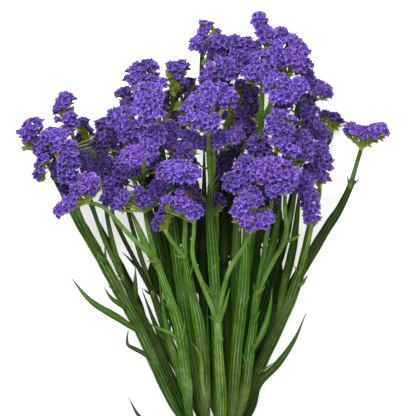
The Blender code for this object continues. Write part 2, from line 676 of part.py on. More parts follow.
def frame_along(axis):
    """Two directions square to an axis."""
    other = np.array([1.0, 0.0, 0.0]) if abs(axis[0]) < 0.8 else np.array([0.0, 1.0, 0.0])
    side = unit(np.cross(axis, other))
    return side, np.cross(axis, side)


def tapered_bar(start, end, start_radius, end_radius, sides):
    axis = unit(end - start)
    side, out = frame_along(axis)
    turns = [2 * math.pi * k / sides for k in range(sides)]
    outlines = [(side, out, [(r * math.cos(t), r * math.sin(t)) for t in turns])
                for r in (start_radius, end_radius)]
    return loft([start, end], outlines)


def comb_rings(centres, radii):
    """Places and radii of the rings along one comb, from end to end."""
    places, sizes = [], []
    for i in range(len(centres) - 1):
        length = float(np.linalg.norm(centres[i + 1] - centres[i]))
        count = max(1, round(length / CUP_SPACING))
        for k in range(count):
            share = k / count
            places.append(centres[i] * (1 - share) + centres[i + 1] * share)
            sizes.append(radii[i] * (1 - share) + radii[i + 1] * share)
    places.append(centres[-1])
    sizes.append(radii[-1])
    before = centres[0] + unit(centres[0] - centres[1]) * END_REACH * radii[0]
    after = centres[-1] + unit(centres[-1] - centres[-2]) * END_REACH * radii[-1]
    places = [before] + places + [after]
    sizes = [END_SHARE * radii[0]] + sizes + [END_SHARE * radii[-1]]
    return places, sizes


def comb_shape(centres, radii, sides, facing, wanted, rng):
    """A comb: a small core along its spine, and a papery cup drawn out of each side of it.

    The side away from the facing direction stays plain, as the green back of a real comb does.
    """
    places, sizes = comb_rings(centres, radii)
    shape = bmesh.new()
    cores, rims = [], []
    for i, (place, size) in enumerate(zip(places, sizes)):
        ahead = unit(places[min(i + 1, len(places) - 1)] - places[max(i - 1, 0)])
        up = facing - ahead * float(facing @ ahead)
        if np.linalg.norm(up) < 0.2:
            up = np.cross(ahead, np.array([1.0, 0.0, 0.0]))
        up = unit(up)
        side = np.cross(ahead, up)
        core, rim = [], []
        for k in range(sides):
            turn = 2 * math.pi * k / sides
            way = up * math.cos(turn) + side * math.sin(turn)
            core.append(shape.verts.new(place + way * CORE_SHARE * size))
            rim.append(place + way * size)
        cores.append(core)
        rims.append(rim)

    def cup(corners, tops, hub):
        """One floret over a face of the core, or the plain face where a floret has no room."""
        middle = sum(tops) / len(tops)
        normal = unit(middle - hub)
        spots = []
        for top in tops:
            spot = top + (middle - top) * RIM_PULL
            spots.append(spot + (spot - hub) * rng.uniform(-RIM_UNEVENNESS, RIM_UNEVENNESS))
        small = min(np.linalg.norm(spots[k] - spots[k - 1]) for k in range(len(spots))) < LEAST_CUP
        if small or not wanted(spots, normal):
            shape.faces.new(corners)
            return
        ring = [shape.verts.new(spot) for spot in spots]
        dip = shape.verts.new(hub + (middle - hub) * DIP_SHARE)
        for k in range(len(ring)):
            shape.faces.new((corners[k - 1], corners[k], ring[k], ring[k - 1]))
            shape.faces.new((ring[k - 1], ring[k], dip))

    for i in range(len(cores) - 1):
        hub = (places[i] + places[i + 1]) / 2
        ahead = unit(places[i + 1] - places[i])
        for k in range(sides):
            after = (k + 1) % sides
            corners = [cores[i][k], cores[i + 1][k], cores[i + 1][after], cores[i][after]]
            tops = [rims[i][k], rims[i + 1][k], rims[i + 1][after], rims[i][after]]
            folded = (tops[1] - tops[0]) @ ahead < LEAST_CUP or (tops[2] - tops[3]) @ ahead < LEAST_CUP
            if folded:
                shape.faces.new(corners)
            else:
                cup(corners, tops, hub)
    for core, rim, at, inner in ((cores[0], rims[0], 0, 1),
                                 (cores[-1][::-1], rims[-1][::-1], -1, -2)):
        outward = unit(places[at] - places[inner]) * sizes[at]
        tops = [spot + outward * END_CUP_RISE for spot in rim]
        cup(core, tops, places[at] - outward * END_CUP_DEPTH)
    return shape


def finer(values):
    """The values with three more between each two, along the first axis."""
    held = np.arange(len(values))
    even = np.linspace(0, len(values) - 1, 4 * (len(values) - 1) + 1)
    if values.ndim == 1:
        return np.interp(even, held, values)
    return np.stack([np.interp(even, held, values[:, k]) for k in range(3)], axis=1)


class Surroundings:
    """Everything that a floret of one head must stay clear of."""

    def __init__(self, chains, lumps):
        spots, rooms, heads = [], [], []
        for chain in chains:
            spots.append(finer(chain.points))
            rooms.append(finer(chain.room()))
            heads.extend([None] * len(spots[-1]))
        for name, centres in lumps.items():
            drawn, radii = head_spots(name)
            spots.append(drawn + centres[0] - drawn[0])
            rooms.append(radii)
            heads.extend([name] * len(radii))
        self.spots = np.vstack(spots)
        self.rooms = np.concatenate(rooms)
        self.heads = np.array(heads, object)

    def is_clear(self, head, spots):
        others = self.heads != head
        for spot in spots:
            apart = np.linalg.norm(self.spots[others] - spot, axis=1)
            if np.any(apart < self.rooms[others] + FLORET_GAP):
                return False
        return True


def head_pieces(name, centres, neck, around, rng):
    """The comb of one head and its neck, still separate."""
    middle = centres[HEADS[name][1]]
    back = unit(neck - middle)
    end = middle + back * (neck_reach(name) - SOCKET_GAP)
    facing = unit(np.array([0.0, 0.0, UPWARD_LEAN]) - back)

    def wanted(spots, normal):
        ahead = sum(spots) / len(spots) - middle
        in_neck = ahead @ back > 0 and np.linalg.norm(np.cross(ahead, back)) < NECK_ROOM
        if normal @ facing < BACK_COSINE or in_neck:
            return False
        between = [spots[k] + (spots[k - 1] - spots[k]) * share
                   for k in range(len(spots)) for share in (0.25, 0.5, 0.75)]
        return around.is_clear(name, spots + between)

    sides = DEEP_COMB_SIDES if HEADS[name][0] < DEEP_HEIGHT else COMB_SIDES
    comb = comb_shape(centres, lump_radii(name), sides, facing, wanted, rng)
    return [comb, tapered_bar(middle, end, NECK_RADIUS, NECK_RADIUS, 4)]


def make_surface_cutter(collection):
    """A block whose top is the surface that the bunch lies on."""
    shape = bmesh.new()
    bmesh.ops.create_cube(shape, size=1.0)
    bmesh.ops.scale(shape, vec=CUTTER_SIZE, verts=shape.verts)
    bmesh.ops.translate(shape, vec=(0, CUTTER_MIDDLE_Y, -CUTTER_SIZE[2] / 2), verts=shape.verts)
    cutter = object_of("surface_cutter", shape, collection)
    cutter.hide_render = True
    cutter.display_type = "WIRE"
    return cutter


def cut_flat(thing, cutter):
    """Takes off what dips under the surface, which leaves a small flat spot to rest on."""
    flat = thing.modifiers.new("Flat", "BOOLEAN")
    flat.operation = "DIFFERENCE"
    flat.solver = "EXACT"
    flat.object = cutter


def make_band(collection, cutter, material):
    """A turned ring about Y, cut flat where it lies on the surface."""
    profile = bmesh.new()
    corners = [(BAND_INNER, -BAND_HALF_WIDTH), (BAND_OUTER, -BAND_HALF_WIDTH),
               (BAND_OUTER, BAND_HALF_WIDTH), (BAND_INNER, BAND_HALF_WIDTH)]
    verts = [profile.verts.new((r, y, 0)) for r, y in corners]
    for k in range(4):
        profile.edges.new((verts[k], verts[(k + 1) % 4]))
    mesh = bpy.data.meshes.new("band")
    bmesh.ops.scale(profile, vec=(MM, MM, MM), verts=profile.verts)
    profile.to_mesh(mesh)
    profile.free()
    band = bpy.data.objects.new("band", mesh)
    band.location = (0, 0, BAND_HEIGHT * MM)
    collection.objects.link(band)
    turn = band.modifiers.new("Turn", "SCREW")
    turn.axis = "Y"
    turn.angle = 2 * math.pi
    turn.steps = BAND_SIDES
    turn.render_steps = BAND_SIDES
    turn.use_merge_vertices = True
    turn.merge_threshold = 0.0001
    turn.use_normal_calculate = True
    cut_flat(band, cutter)
    band.data.materials.append(material)
    return band


def main():
    clear_scene()
    parts = new_collection("statice_bunch")
    cutters = new_collection("cutters")
    green = new_material("stem_green", GREEN, 0.55)
    violet = new_material("floret_violet", VIOLET, 0.7)
    rubber = new_material("rubber", RUBBER, 0.6)

    cutter = make_surface_cutter(cutters)
    make_band(parts, cutter, rubber)
    chains, lumps = settled_bunch()
    around = Surroundings(chains, lumps)

    shapers = {"stem": stem_shape, "branch": branch_shape, "leaf": leaf_shape}
    for name in STEMS:
        own = [chain for chain in chains if chain.owner == name]
        pieces = [object_of(f"{name}_{i}", shapers[chain.kind](chain), parts)
                  for i, chain in enumerate(own)]
        joined(f"stem_{name}", pieces, green)

    rng = random.Random(SEED)
    necks = {chain.head: chain.points[-1] for chain in chains if chain.head}
    for name, centres in lumps.items():
        shapes = head_pieces(name, centres, necks[name], around, rng)
        pieces = [object_of(f"{name}_{i}", shape, parts) for i, shape in enumerate(shapes)]
        head = joined(f"head_{name}", pieces, violet)
        if min(vertex.co.z for vertex in head.data.vertices) < 0:
            cut_flat(head, cutter)


main()
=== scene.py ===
"""A bunch of statice on its side: winged stems, papery violet florets and a rubber band."""

import functools
import json
import math
import random

import bmesh
import bpy
import numpy as np
from mathutils import Matrix, Vector

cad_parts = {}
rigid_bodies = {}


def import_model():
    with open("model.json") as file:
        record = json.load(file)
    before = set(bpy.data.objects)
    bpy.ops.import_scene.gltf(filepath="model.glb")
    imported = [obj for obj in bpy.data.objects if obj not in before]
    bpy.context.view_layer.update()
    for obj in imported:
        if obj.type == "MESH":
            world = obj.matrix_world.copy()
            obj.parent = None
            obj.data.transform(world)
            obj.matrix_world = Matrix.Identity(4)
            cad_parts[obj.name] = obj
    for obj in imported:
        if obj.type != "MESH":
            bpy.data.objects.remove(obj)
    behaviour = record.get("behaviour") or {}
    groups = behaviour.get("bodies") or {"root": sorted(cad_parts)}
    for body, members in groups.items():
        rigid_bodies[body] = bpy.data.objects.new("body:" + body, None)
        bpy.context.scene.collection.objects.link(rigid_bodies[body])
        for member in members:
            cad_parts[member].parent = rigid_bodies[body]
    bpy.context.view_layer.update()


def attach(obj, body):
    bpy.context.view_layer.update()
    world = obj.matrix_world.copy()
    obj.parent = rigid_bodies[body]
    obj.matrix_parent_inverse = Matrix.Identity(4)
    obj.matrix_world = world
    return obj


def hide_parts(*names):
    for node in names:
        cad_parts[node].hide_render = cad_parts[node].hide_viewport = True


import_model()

bl_info = {
    "name": "Statice bunch",
    "version": (1, 0, 0),
    "blender": (4, 5, 0),
    "location": "3D View > Sidebar > Statice",
    "description": "Dresses the solids of a statice bunch with ridged stems and ruffled florets",
    "category": "Object",
}

MM = 0.001
BODY = "root"
SEED = 14
UP = np.array([0.0, 0.0, 1.0])
WHITE = (1.0, 1.0, 1.0, 1.0)
ANY_TURN = (0, 6.3)

# The band, and where the stems pass through it
BAND_INNER = 15.9
BAND_OUTER = 17.6
BAND_HALF_WIDTH = 4.5
BAND_HEIGHT = 17.4
BAND_SIDES = 14
BAND_STEPS = 72
BAND_SQUARENESS = 0.6
BAND_PARTING = 0.12
OUTER_RING_RADIUS = 13.35
INNER_RING_RADIUS = 9.05
CUT_END_Y = -112.0
CUT_END_SPREAD = 1.06
CUT_END_STAGGER = 0.05
STRAIGHT_TO_Y = 14.0

# The winged stems, their branches and their leaves
WING_WIDTH = 11.0
WING_WIDTH_IN_BAND = 6.6
STEM_THICKNESS = 4.0
WIDENING_TO_Y = 90.0
TIP_SHARE = 0.62
TIP_RUN = 80
BRANCH_WIDTH = 5.2
BRANCH_THICKNESS = 3.2
BRANCH_WAVE = 0.4
ROOT_SINK = 1.0
NECK_OVERLAP = 3.0
LEAF_THICKNESS = 1.5
LEAF_FOOT_SHARE = 0.55
LEAF_TIP_HALF = 0.5
LEAF_FOLD = 0.22
LEAF_WAVE = 0.35
LEAF_FINENESS = 1.4
BLADE_STATIONS = (0.0, 0.35, 0.7, 1.0)
PATH_STEP = 8.0
CURVE_STEP = 0.05
ALONG_SCALE = 0.04
WAVE_PACES = ((0.05, 0.12, 0.6), (0.16, 0.3, 0.4))

# The heads
CORE_SHARE = 0.46
SOCKET_GAP = 0.3
NECK_LENGTH = 1.0
FULLNESS = 1.4
UPWARD_LEAN = 0.9
FLORET_GAP = 1.0

# How the bunch settles, so that nothing crosses
CLEARANCE = 1.0
SETTLE_ROUNDS = 400
SIDEWAYS_EASE = 0.35
UPWARD_EASE = 0.3
RETURN_SHARE = 0.98
NEAR_ROUNDS = 20
NEAR_REACH = 8.0
FLOOR_DIP = 0.5
HEAD_DIP_SHARE = 0.45

# Painted shade: how stems and leaves are made darker near the floor and among the heads
DARK_BELOW = 8.0
LIGHT_ABOVE = 70.0
OWN_TINT_SHARE = 0.4
CROWN_REACH = 32.0
CROWN_BELOW = 30.0
CROWN_COUNTS = (4, 10)
CROWN_DARKENING = 0.75

# Florets and the green ribs behind them; a ring is a radius and a height, and for a floret
# also a level in its colours and a share of the ruffle
FLORET_SIDES = 12
FLORET_KINDS = 14
FLORET_RINGS = ((0.12, 0.0, 0.0, 0.0), (0.19, 0.46, 0.36, 0.0), (0.5, 0.9, 0.86, 1.0),
                (0.3, 0.9, 0.74, -1.3), (0.1, 0.78, 0.6, 0.6))
EYED_SHARE = 0.2
REST_GAP = 0.02
RIB_SIDES = 6
RIB_KINDS = 3
RIB_RINGS = ((0.3, 0.0), (0.5, 0.3), (0.4, 0.65), (0.08, 1.0))
AROUND_SHARE = 0.84
LEAST_AROUND = 5
TURN_SLACK = 0.18
END_FLORET_SHARE = 0.86
END_AROUND_SHARE = 0.72
FLORET_BACK_COSINE = 0.0
NECK_SIDE_COSINE = 0.04
RIB_SIDE_COSINE = -0.15
ROOT_SHARE = 0.55
FLORET_LENGTH = 9.0
NECK_CLEAR = 3.4
# Painted shade on florets: how far and how steeply the heads above a comb darken it
SHADING_REACH = 34.0
SHADING_STRENGTH = 0.6
SHADING_RISE = (8, 40)

# The round green parts: cores, necks (share of the way and radius) and twigs
GREEN_REACH = 0.3
CORE_SIDES = 10
CORE_ROUGHNESS = 0.2
NECK_SIDES = 8
NECK_RINGS = ((0.25, 2.6), (0.6, 2.3), (0.85, 2.1), (1.0, 1.9))
TWIG_SIDES = 5
TWIGS_PER_LUMP = 3

# The small leaves along a stem
LEAFLETS_FROM_Y = 70.0
LEAFLETS_TO_Y = 225.0

# The small sprigs in the deep gaps between the heads, darkened with painted shade
GAP_STEP = 3.6
GAP_ENCLOSED = 42.0
GAP_STEM_CLEAR = 3.2
SPRIG_HEIGHTS = (44, 38, 32, 26, 20, 14)
SPRIG_KINDS = 6

# The leaves behind the narrow gaps among the middle stems, darkened with painted shade
BLADES_FROM_Y = 60.0
BLADES_TO_Y = 285.0
BLADES_HALF = 70.0
BLADE_STATION = 6.0
BLADE_LEAST_STATIONS = 4
BLADE_HEIGHTS = (5.0, 11.0)
BLADE_FOOT = 16.0
BLADE_WIDEST = 11.0

# The stage: the camera looks straight down, and its frame is this wide at this height
FLOOR_HALF = 4.0
# The floor glows a little: painted light that lightens the bunch's shadows on it
FLOOR_GLOW = 0.48
WORLD_STRENGTH = 0.5
LIGHTS = (("key_light", (-0.5, 0.9, 1.3), 1.0, 26.0), ("fill_light", (0.9, -0.2, 1.4), 1.4, 8.0))
LIT_HEIGHT = 0.06
SENSOR = 36.0
CAMERA_DISTANCE = 3.0
VIEW_X = -0.008
VIEW_Y = 0.262
VIEW_HEIGHT = 0.09
VIEW_WIDTH = 0.416

# The materials of a stem and of a head in their order, and what their vertices carry; the tint
# holds each part's own random tone together with painted shade
STEM, LEAF, SCALE, CUT, NODE = range(5)
VIOLET, CALYX, EYE = range(3)
STEM_LAYERS = ("ridge", "edge", "across", "along", "tint_and_shade")
HEAD_LAYERS = ("reach", "tint_and_shade")

# Each stem: its ring in the band, its angle there from the top, and its route up to the crown
STEMS = {
    "far_left": (1, 261.8, [(-40, 54, 18), (-59, 95, 21), (-79, 140, 25), (-99, 177, 28),
        (-118, 212, 30), (-142, 253, 32), (-166, 298, 31)]),
    "left": (1, 229.1, [(-32, 54, 13), (-52, 100, 17), (-75, 149, 22), (-95, 190, 26)]),
    "left_front": (1, 294.5, [(-27, 54, 33), (-30, 90, 42), (-38, 143, 54), (-53, 188, 62),
        (-60, 209, 65)]),
    "left_back": (1, 196.4, [(-18, 54, 8), (-46, 119, 12), (-64, 173, 16)]),
    "centre_left": (1, 327.3, [(-10, 54, 42), (-12, 103, 55), (-17, 143, 64), (-26, 185, 73),
        (-32, 213, 78)]),
    "forked": (1, 0.0, [(6, 54, 48), (4, 100, 62), (1, 150, 74)]),
    "centre_right": (1, 32.7, [(16, 54, 40), (21, 116, 52), (28, 182, 60), (30, 230, 66),
        (31, 255, 70)]),
    "right_front": (1, 65.5, [(24, 54, 32), (29, 76, 37), (36, 129, 46), (41, 175, 53)]),
    "right": (1, 98.2, [(27, 54, 24), (39, 87, 28), (68, 149, 38), (85, 196, 46), (97, 250, 52)]),
    "far_right": (1, 130.9, [(22, 60, 12), (50, 130, 16), (68, 164, 20), (87, 198, 25),
        (110, 236, 28), (127, 263, 30), (140, 291, 31)]),
    "right_back": (1, 163.6, [(14, 54, 8), (35, 120, 10), (55, 180, 12), (72, 240, 14),
        (84, 300, 16)]),
    "centre": (2, 0.0, [(2, 54, 32), (2, 120, 44), (-2, 200, 56), (-6, 250, 66), (-5, 285, 76)]),
    "top_right": (2, 72.0, [(12, 54, 24), (20, 120, 30), (30, 200, 38), (38, 270, 46),
        (44, 330, 54), (46, 350, 58)]),
    "top": (2, 144.0, [(3, 54, 14), (0, 150, 18), (-3, 250, 22), (-2, 320, 24), (-4, 350, 26)]),
    "inner_left": (2, 216.0, [(-14, 54, 15), (-34, 120, 20), (-55, 200, 28), (-68, 260, 34),
        (-74, 285, 36)]),
    "upper_left": (2, 288.0, [(-14, 54, 24), (-26, 120, 32), (-38, 200, 40), (-48, 270, 44),
        (-55, 320, 52), (-57, 335, 56)]),
}

# Each head: its height, which of its lumps has the neck, and its lumps in a row
# (x, y, rise, width)
HEADS = {
    "left_fan": (32, 3, [(-178, 294, 16, 11), (-176, 304, 17, 11), (-173, 315, 14, 12),
        (-180, 327, 0, 15), (-193, 330, 2, 17), (-184, 344, 3, 17)]),
    "left_spire": (45, 0, [(-148, 345, 0, 13), (-154, 358, 1, 19), (-151, 372, 2, 14)]),
    "left_shade": (6, 0, [(-118, 311, 0, 13), (-126, 321, 2, 13), (-136, 326, 0, 15),
        (-134, 337, 2, 13), (-138, 348, 6, 11)]),
    "left_column": (62, 0, [(-147, 292, 0, 15), (-149, 304, 1, 17), (-153, 317, 2, 17),
        (-156, 330, 0, 18), (-168, 334, 0, 15)]),
    "left_low": (84, 2, [(-122, 285, 1, 15), (-135, 286, 2, 17), (-138, 271, 0, 15),
        (-149, 265, -3, 12), (-157, 259, -5, 10)]),
    "left_inner": (44, 0, [(-107, 270, 0, 13), (-109, 281, 1, 15), (-102, 293, 0, 14),
        (-97, 305, 1, 14)]),
    "crest_left": (62, 0, [(-60, 386, 0, 17), (-73, 386, 3, 19), (-84, 392, -2, 14),
        (-78, 402, -2, 12), (-66, 404, 0, 13)]),
    "crest_middle": (48, 0, [(-40, 388, 0, 17), (-48, 400, 2, 14), (-35, 403, 0, 14)]),
    "side_fan": (34, 0, [(-87, 366, 0, 14), (-92, 376, 2, 17)]),
    "left_dome": (98, 0, [(-67, 357, 0, 22), (-66, 374, 2, 22)]),
    "shade_middle": (22, 0, [(-32, 353, 0, 17), (-41, 364, 0, 17), (-41, 378, 2, 17),
        (-27, 385, 3, 17)]),
    "shade_left": (22, 0, [(-103, 322, 0, 16), (-111, 334, 2, 17), (-114, 346, 2, 16)]),
    "left_middle": (60, 0, [(-86, 336, 0, 17), (-88, 350, 2, 21), (-101, 354, 0, 14)]),
    "inner_comb": (86, 1, [(-88, 320, -2, 14), (-75, 319, 0, 17), (-68, 330, 1, 16),
        (-62, 342, 0, 16)]),
    "centre_shade": (76, 2, [(-26, 331, -4, 16), (-25, 317, 2, 18), (-39, 317, 0, 17),
        (-43, 330, -2, 17), (-48, 341, -6, 15)]),
    "top_spire": (42, 1, [(-20, 428, 2, 12), (-13, 438, 0, 10), (-15, 447, 1, 10), (-4, 446, 2, 9),
        (-1, 437, 0, 9)]),
    "top_row": (56, 0, [(25, 413, 0, 18), (37, 413, 0, 14), (34, 427, 0, 13), (22, 428, 2, 13),
        (10, 429, 0, 14), (-3, 429, -2, 11)]),
    "top_peak": (64, 2, [(43, 453, 2, 12), (45, 443, 1, 12), (53, 433, 0, 18), (65, 438, -2, 12)]),
    "upper_centre": (68, 0, [(-8, 391, 0, 14), (1, 402, 2, 17), (14, 401, 0, 17)]),
    "upper_right": (78, 1, [(36, 396, 0, 15), (48, 395, 0, 17), (49, 410, 2, 18)]),
    "right_crest": (74, 1, [(65, 419, 2, 21), (77, 406, 0, 20), (87, 417, -3, 12),
        (76, 430, -2, 12)]),
    "right_dome": (98, 0, [(59, 381, 0, 24), (72, 375, -3, 15), (82, 384, -4, 13)]),
    "deep_centre": (18, 2, [(44, 327, 2, 18), (33, 338, 1, 21), (19, 350, 0, 22), (25, 367, 0, 21),
        (24, 384, 2, 18)]),
    "edge_comb": (52, 1, [(89, 407, 2, 13), (91, 394, 0, 13), (100, 387, 0, 11),
        (109, 379, 1, 15)]),
    "edge_low": (38, 1, [(108, 336, 0, 13), (96, 346, 0, 14), (95, 358, 2, 13), (89, 370, 0, 14)]),
    "edge_fan": (5, 0, [(122, 350, 0, 15), (112, 354, 2, 13)]),
    "right_lone": (34, 1, [(139, 340, 1, 15), (152, 334, 0, 18), (167, 339, 1, 16)]),
    "right_pair": (84, 0, [(84, 313, 0, 20), (87, 329, 2, 16)]),
    "right_outer": (66, 0, [(106, 294, 0, 16), (107, 307, 2, 16), (103, 320, 0, 16)]),
    "right_mass": (92, 1, [(75, 320, -2, 15), (61, 331, 0, 19), (66, 347, 2, 24)]),
    "middle_right": (84, 1, [(49, 311, 0, 14), (41, 323, 0, 20)]),
    "middle_light": (120, 0, [(-8, 346, 0, 19), (-24, 352, 2, 21), (-16, 366, 0, 17),
        (-3, 377, -8, 17), (11, 371, -10, 18)]),
    "middle_fan": (100, 0, [(-6, 328, 0, 16), (6, 329, 2, 17), (17, 334, 0, 15)]),
    "front_left": (112, 1, [(-50, 297, 1, 17), (-37, 298, 0, 19), (-24, 295, -2, 15)]),
    "left_sprig": (50, 0, [(-86, 298, 0, 15), (-76, 309, 1, 15), (-63, 305, 3, 15)]),
    "low_left": (68, 2, [(-95, 265, 0, 14), (-84, 276, 1, 17), (-73, 268, 0, 14), (-62, 270, 0, 13),
        (-57, 282, 2, 15)]),
    "low_front": (97, 0, [(-22, 257, 0, 14), (-33, 261, 2, 15), (-36, 272, 1, 15),
        (-47, 267, -2, 13)]),
    "low_sprig": (72, 0, [(-55, 246, 0, 14), (-50, 257, 0, 13)]),
    "low_centre": (46, 0, [(1, 267, 0, 17), (-9, 259, 0, 13), (-20, 267, 0, 14),
        (-26, 280, 1, 15)]),
    "front_right": (122, 3, [(43, 297, 1, 18), (57, 300, 3, 20), (71, 296, 0, 17), (68, 283, 0, 14),
        (57, 282, 0, 13)]),
    "front_middle": (96, 1, [(18, 286, 2, 19), (31, 290, 0, 16), (30, 304, 1, 18)]),
    "front_low": (108, 1, [(50, 252, -3, 13), (38, 246, 0, 15), (25, 250, -1, 15), (26, 263, 1, 14),
        (36, 272, 1, 17)]),
    "right_low": (74, 0, [(95, 255, 0, 13), (93, 267, 1, 13), (89, 280, 0, 14), (87, 294, 0, 14)]),
}

# Each branch: the head that it bears, what it grows from, the Y where it leaves that,
# and its bends
BRANCHES = [
    ("left_fan", "far_left", 294, [(-174, 313, 30)]),
    ("left_column", "far_left", 212, [(-138, 255, 44)]),
    ("left_spire", "left", 188, [(-118, 240, 32), (-136, 300, 36)]),
    ("left_shade", "left", 188, [(-110, 245, 16)]),
    ("left_low", "left_front", 207, [(-88, 236, 70), (-112, 262, 76)]),
    ("low_left", "left_front", 207, [(-68, 240, 64)]),
    ("left_inner", "left_back", 170, [(-90, 222, 22), (-104, 252, 34)]),
    ("shade_left", "left_back", 170, [(-80, 222, 13), (-98, 290, 14)]),
    ("low_sprig", "centre_left", 211, [(-46, 231, 76)]),
    ("front_left", "centre_left", 211, [(-31, 248, 79), (-33, 274, 88)]),
    ("low_front", "forked", 148, [(-12, 182, 82), (-23, 213, 90), (-22, 240, 93)]),
    ("front_low", "forked", 148, [(12, 196, 84), (27, 222, 92)]),
    ("front_middle", "centre_right", 252, [(31, 270, 80)]),
    ("middle_right", "centre_right", 252, [(38, 285, 69), (41, 303, 74)]),
    ("front_right", "right_front", 172, [(56, 205, 64), (70, 232, 76), (69, 258, 94)]),
    ("right_pair", "front_right", 222, [(77, 262, 62), (82, 290, 67)]),
    ("right_mass", "right_front", 172, [(49, 220, 56), (57, 275, 62)]),
    ("right_outer", "right", 246, [(104, 272, 57)]),
    ("right_low", "right", 194, [(93, 232, 62)]),
    ("right_lone", "far_right", 287, [(146, 315, 31)]),
    ("edge_low", "right_back", 296, [(90, 325, 26)]),
    ("edge_comb", "right_back", 296, [(80, 335, 24), (84, 370, 38)]),
    ("edge_fan", "right_back", 296, [(103, 314, 10), (117, 331, 10)]),
    ("middle_light", "centre", 282, [(-7, 310, 92)]),
    ("middle_fan", "centre", 282, [(-3, 305, 86)]),
    ("low_centre", "centre", 200, [(1, 232, 48)]),
    ("right_dome", "top_right", 347, [(52, 360, 74)]),
    ("upper_right", "top_right", 338, [(46, 370, 62)]),
    ("right_crest", "top_right", 347, [(60, 375, 60), (72, 392, 64)]),
    ("top_peak", "top_right", 347, [(47, 380, 50), (48, 412, 52)]),
    ("top_spire", "top", 347, [(-14, 390, 32), (-14, 415, 36)]),
    ("top_row", "top", 339, [(6, 378, 36), (18, 398, 46)]),
    ("upper_centre", "top", 331, [(-7, 370, 48)]),
    ("shade_middle", "top", 307, [(-17, 335, 24)]),
    ("deep_centre", "top", 310, [(3, 337, 20)]),
    ("left_dome", "upper_left", 332, [(-62, 343, 76)]),
    ("crest_left", "upper_left", 332, [(-58, 358, 56)]),
    ("crest_middle", "upper_left", 332, [(-46, 360, 50)]),
    ("centre_shade", "upper_left", 268, [(-45, 292, 64)]),
    ("left_middle", "inner_left", 282, [(-90, 312, 34), (-88, 326, 46)]),
    ("side_fan", "inner_left", 282, [(-80, 320, 30), (-84, 350, 31)]),
    ("inner_comb", "inner_left", 282, [(-73, 298, 66)]),
    ("left_sprig", "inner_left", 258, [(-79, 280, 42)]),
]

# Each leaf: the stem or branch that bears it, the Y of its foot, its route to the tip,
# and its width
LEAVES = [
    ("far_left", 138, [(-100, 150, 30), (-128, 168, 34), (-148, 192, 33)], 8.0),
    ("far_left", 158, [(-106, 170, 34), (-114, 182, 36)], 5.0),
    ("far_left", 108, [(-78, 116, 24), (-90, 123, 28), (-89, 138, 32)], 5.0),
    ("far_left", 28, [(-52, 38, 22), (-76, 47, 24), (-90, 70, 28)], 6.4),
    ("left", 160, [(-82, 178, 34), (-82, 202, 38)], 5.6),
    ("left_back", 165, [(-71, 192, 12), (-84, 205, 14), (-96, 217, 16)], 5.6),
    ("left_front", 122, [(-44, 134, 52), (-62, 142, 54), (-70, 148, 56)], 5.0),
    ("centre_left", 66, [(-14, 90, 56), (-15, 111, 62), (-24, 126, 66)], 6.0),
    ("forked", 146, [(9, 164, 78), (14, 182, 82)], 5.0),
    ("right_front", 174, [(44, 195, 64), (48, 222, 70)], 5.0),
    ("right_front", 110, [(46, 134, 54), (54, 158, 58), (57, 182, 62)], 7.0),
    ("front_right", 226, [(78, 231, 80), (85, 236, 84)], 4.6),
    ("right", 22, [(35, 54, 20), (43, 82, 26), (62, 102, 34), (80, 128, 38), (92, 156, 40)], 9.6),
    ("right", 178, [(86, 184, 46), (93, 194, 50)], 4.6),
    ("edge_comb", 340, [(84, 352, 18), (88, 376, 14)], 7.0),
    ("right_back", 130, [(50, 150, 8), (70, 172, 9)], 6.0),
    ("left", 140, [(-82, 170, 12), (-105, 215, 14), (-132, 270, 18)], 10.0),
    ("left_back", 60, [(-38, 92, 5), (-58, 132, 6), (-76, 178, 6)], 8.0),
    ("inner_left", 90, [(-34, 130, 10), (-45, 180, 10), (-57, 255, 14)], 11.0),
    ("upper_left", 80, [(-20, 120, 14), (-25, 180, 14), (-31, 265, 18)], 11.0),
    ("top", 80, [(-8, 120, 10), (-13, 180, 10), (-12, 250, 12), (-12, 340, 14)], 11.0),
    ("top", 40, [(-7, 75, 22), (-8, 120, 24), (-9, 165, 26)], 6.4),
    ("top_right", 70, [(12, 120, 12), (9, 180, 10), (8, 250, 10), (3, 345, 8)], 11.0),
    ("top_right", 100, [(20, 150, 24), (21, 210, 30), (22, 270, 38), (23, 345, 44)], 12.0),
    ("right_back", 110, [(36, 150, 8), (41, 195, 8), (47, 265, 10)], 10.0),
    ("left_front", 195, [(-68, 218, 50), (-80, 245, 50), (-90, 268, 50)], 8.0),
    ("right_front", 150, [(47, 190, 38), (60, 235, 40), (68, 295, 42)], 10.0),
    ("right", 140, [(69, 180, 32), (80, 230, 28), (87, 295, 26)], 10.0),
    ("left_front", 60, [(-38, 95, 34), (-50, 140, 38), (-58, 190, 42)], 9.0),
]


def mirrored(half):
    """A whole profile from its left half, which ends in the middle."""
    return half + [(-place, *rest) for place, *rest in reversed(half[:-1])]


# The upper side of each kind of blade: place across, height, share of ridge, share of edge
STEM_PROFILE = mirrored([(-1.0, 0.06, 0.0, 1.0), (-0.82, 0.12, 0.0, 0.5), (-0.58, 0.16, 0.0, 0.0),
                         (-0.42, 0.5, 0.3, 0.0), (-0.28, 1.0, 1.0, 0.0), (-0.14, 0.72, 0.15, 0.0),
                         (0.0, 0.66, 0.0, 0.0)])
BRANCH_PROFILE = mirrored([(-1.0, 0.1, 0.0, 1.0), (-0.66, 0.42, 0.2, 0.2), (-0.36, 0.9, 0.9, 0.0),
                           (0.0, 0.78, 0.1, 0.0)])
LEAF_PROFILE = mirrored([(-1.0, 0.12, 0.1, 1.0), (-0.55, 0.5, 0.1, 0.2), (-0.12, 0.62, 0.2, 0.0),
                         (0.0, 1.0, 1.0, 0.0)])


def unit(vector):
    return vector / max(float(np.linalg.norm(vector)), 1e-9)


def jitter(rng, most):
    """A small seeded step, at most this far along each axis."""
    return np.array([rng.uniform(-most, most) for _ in range(3)])


def eased(low, high, value):
    share = min(max((value - low) / (high - low), 0.0), 1.0)
    return share * share * (3 - 2 * share)


def run_along(line):
    """How far along a line each of its points lies."""
    return np.concatenate([[0], np.cumsum(np.linalg.norm(np.diff(line, axis=0), axis=1))])


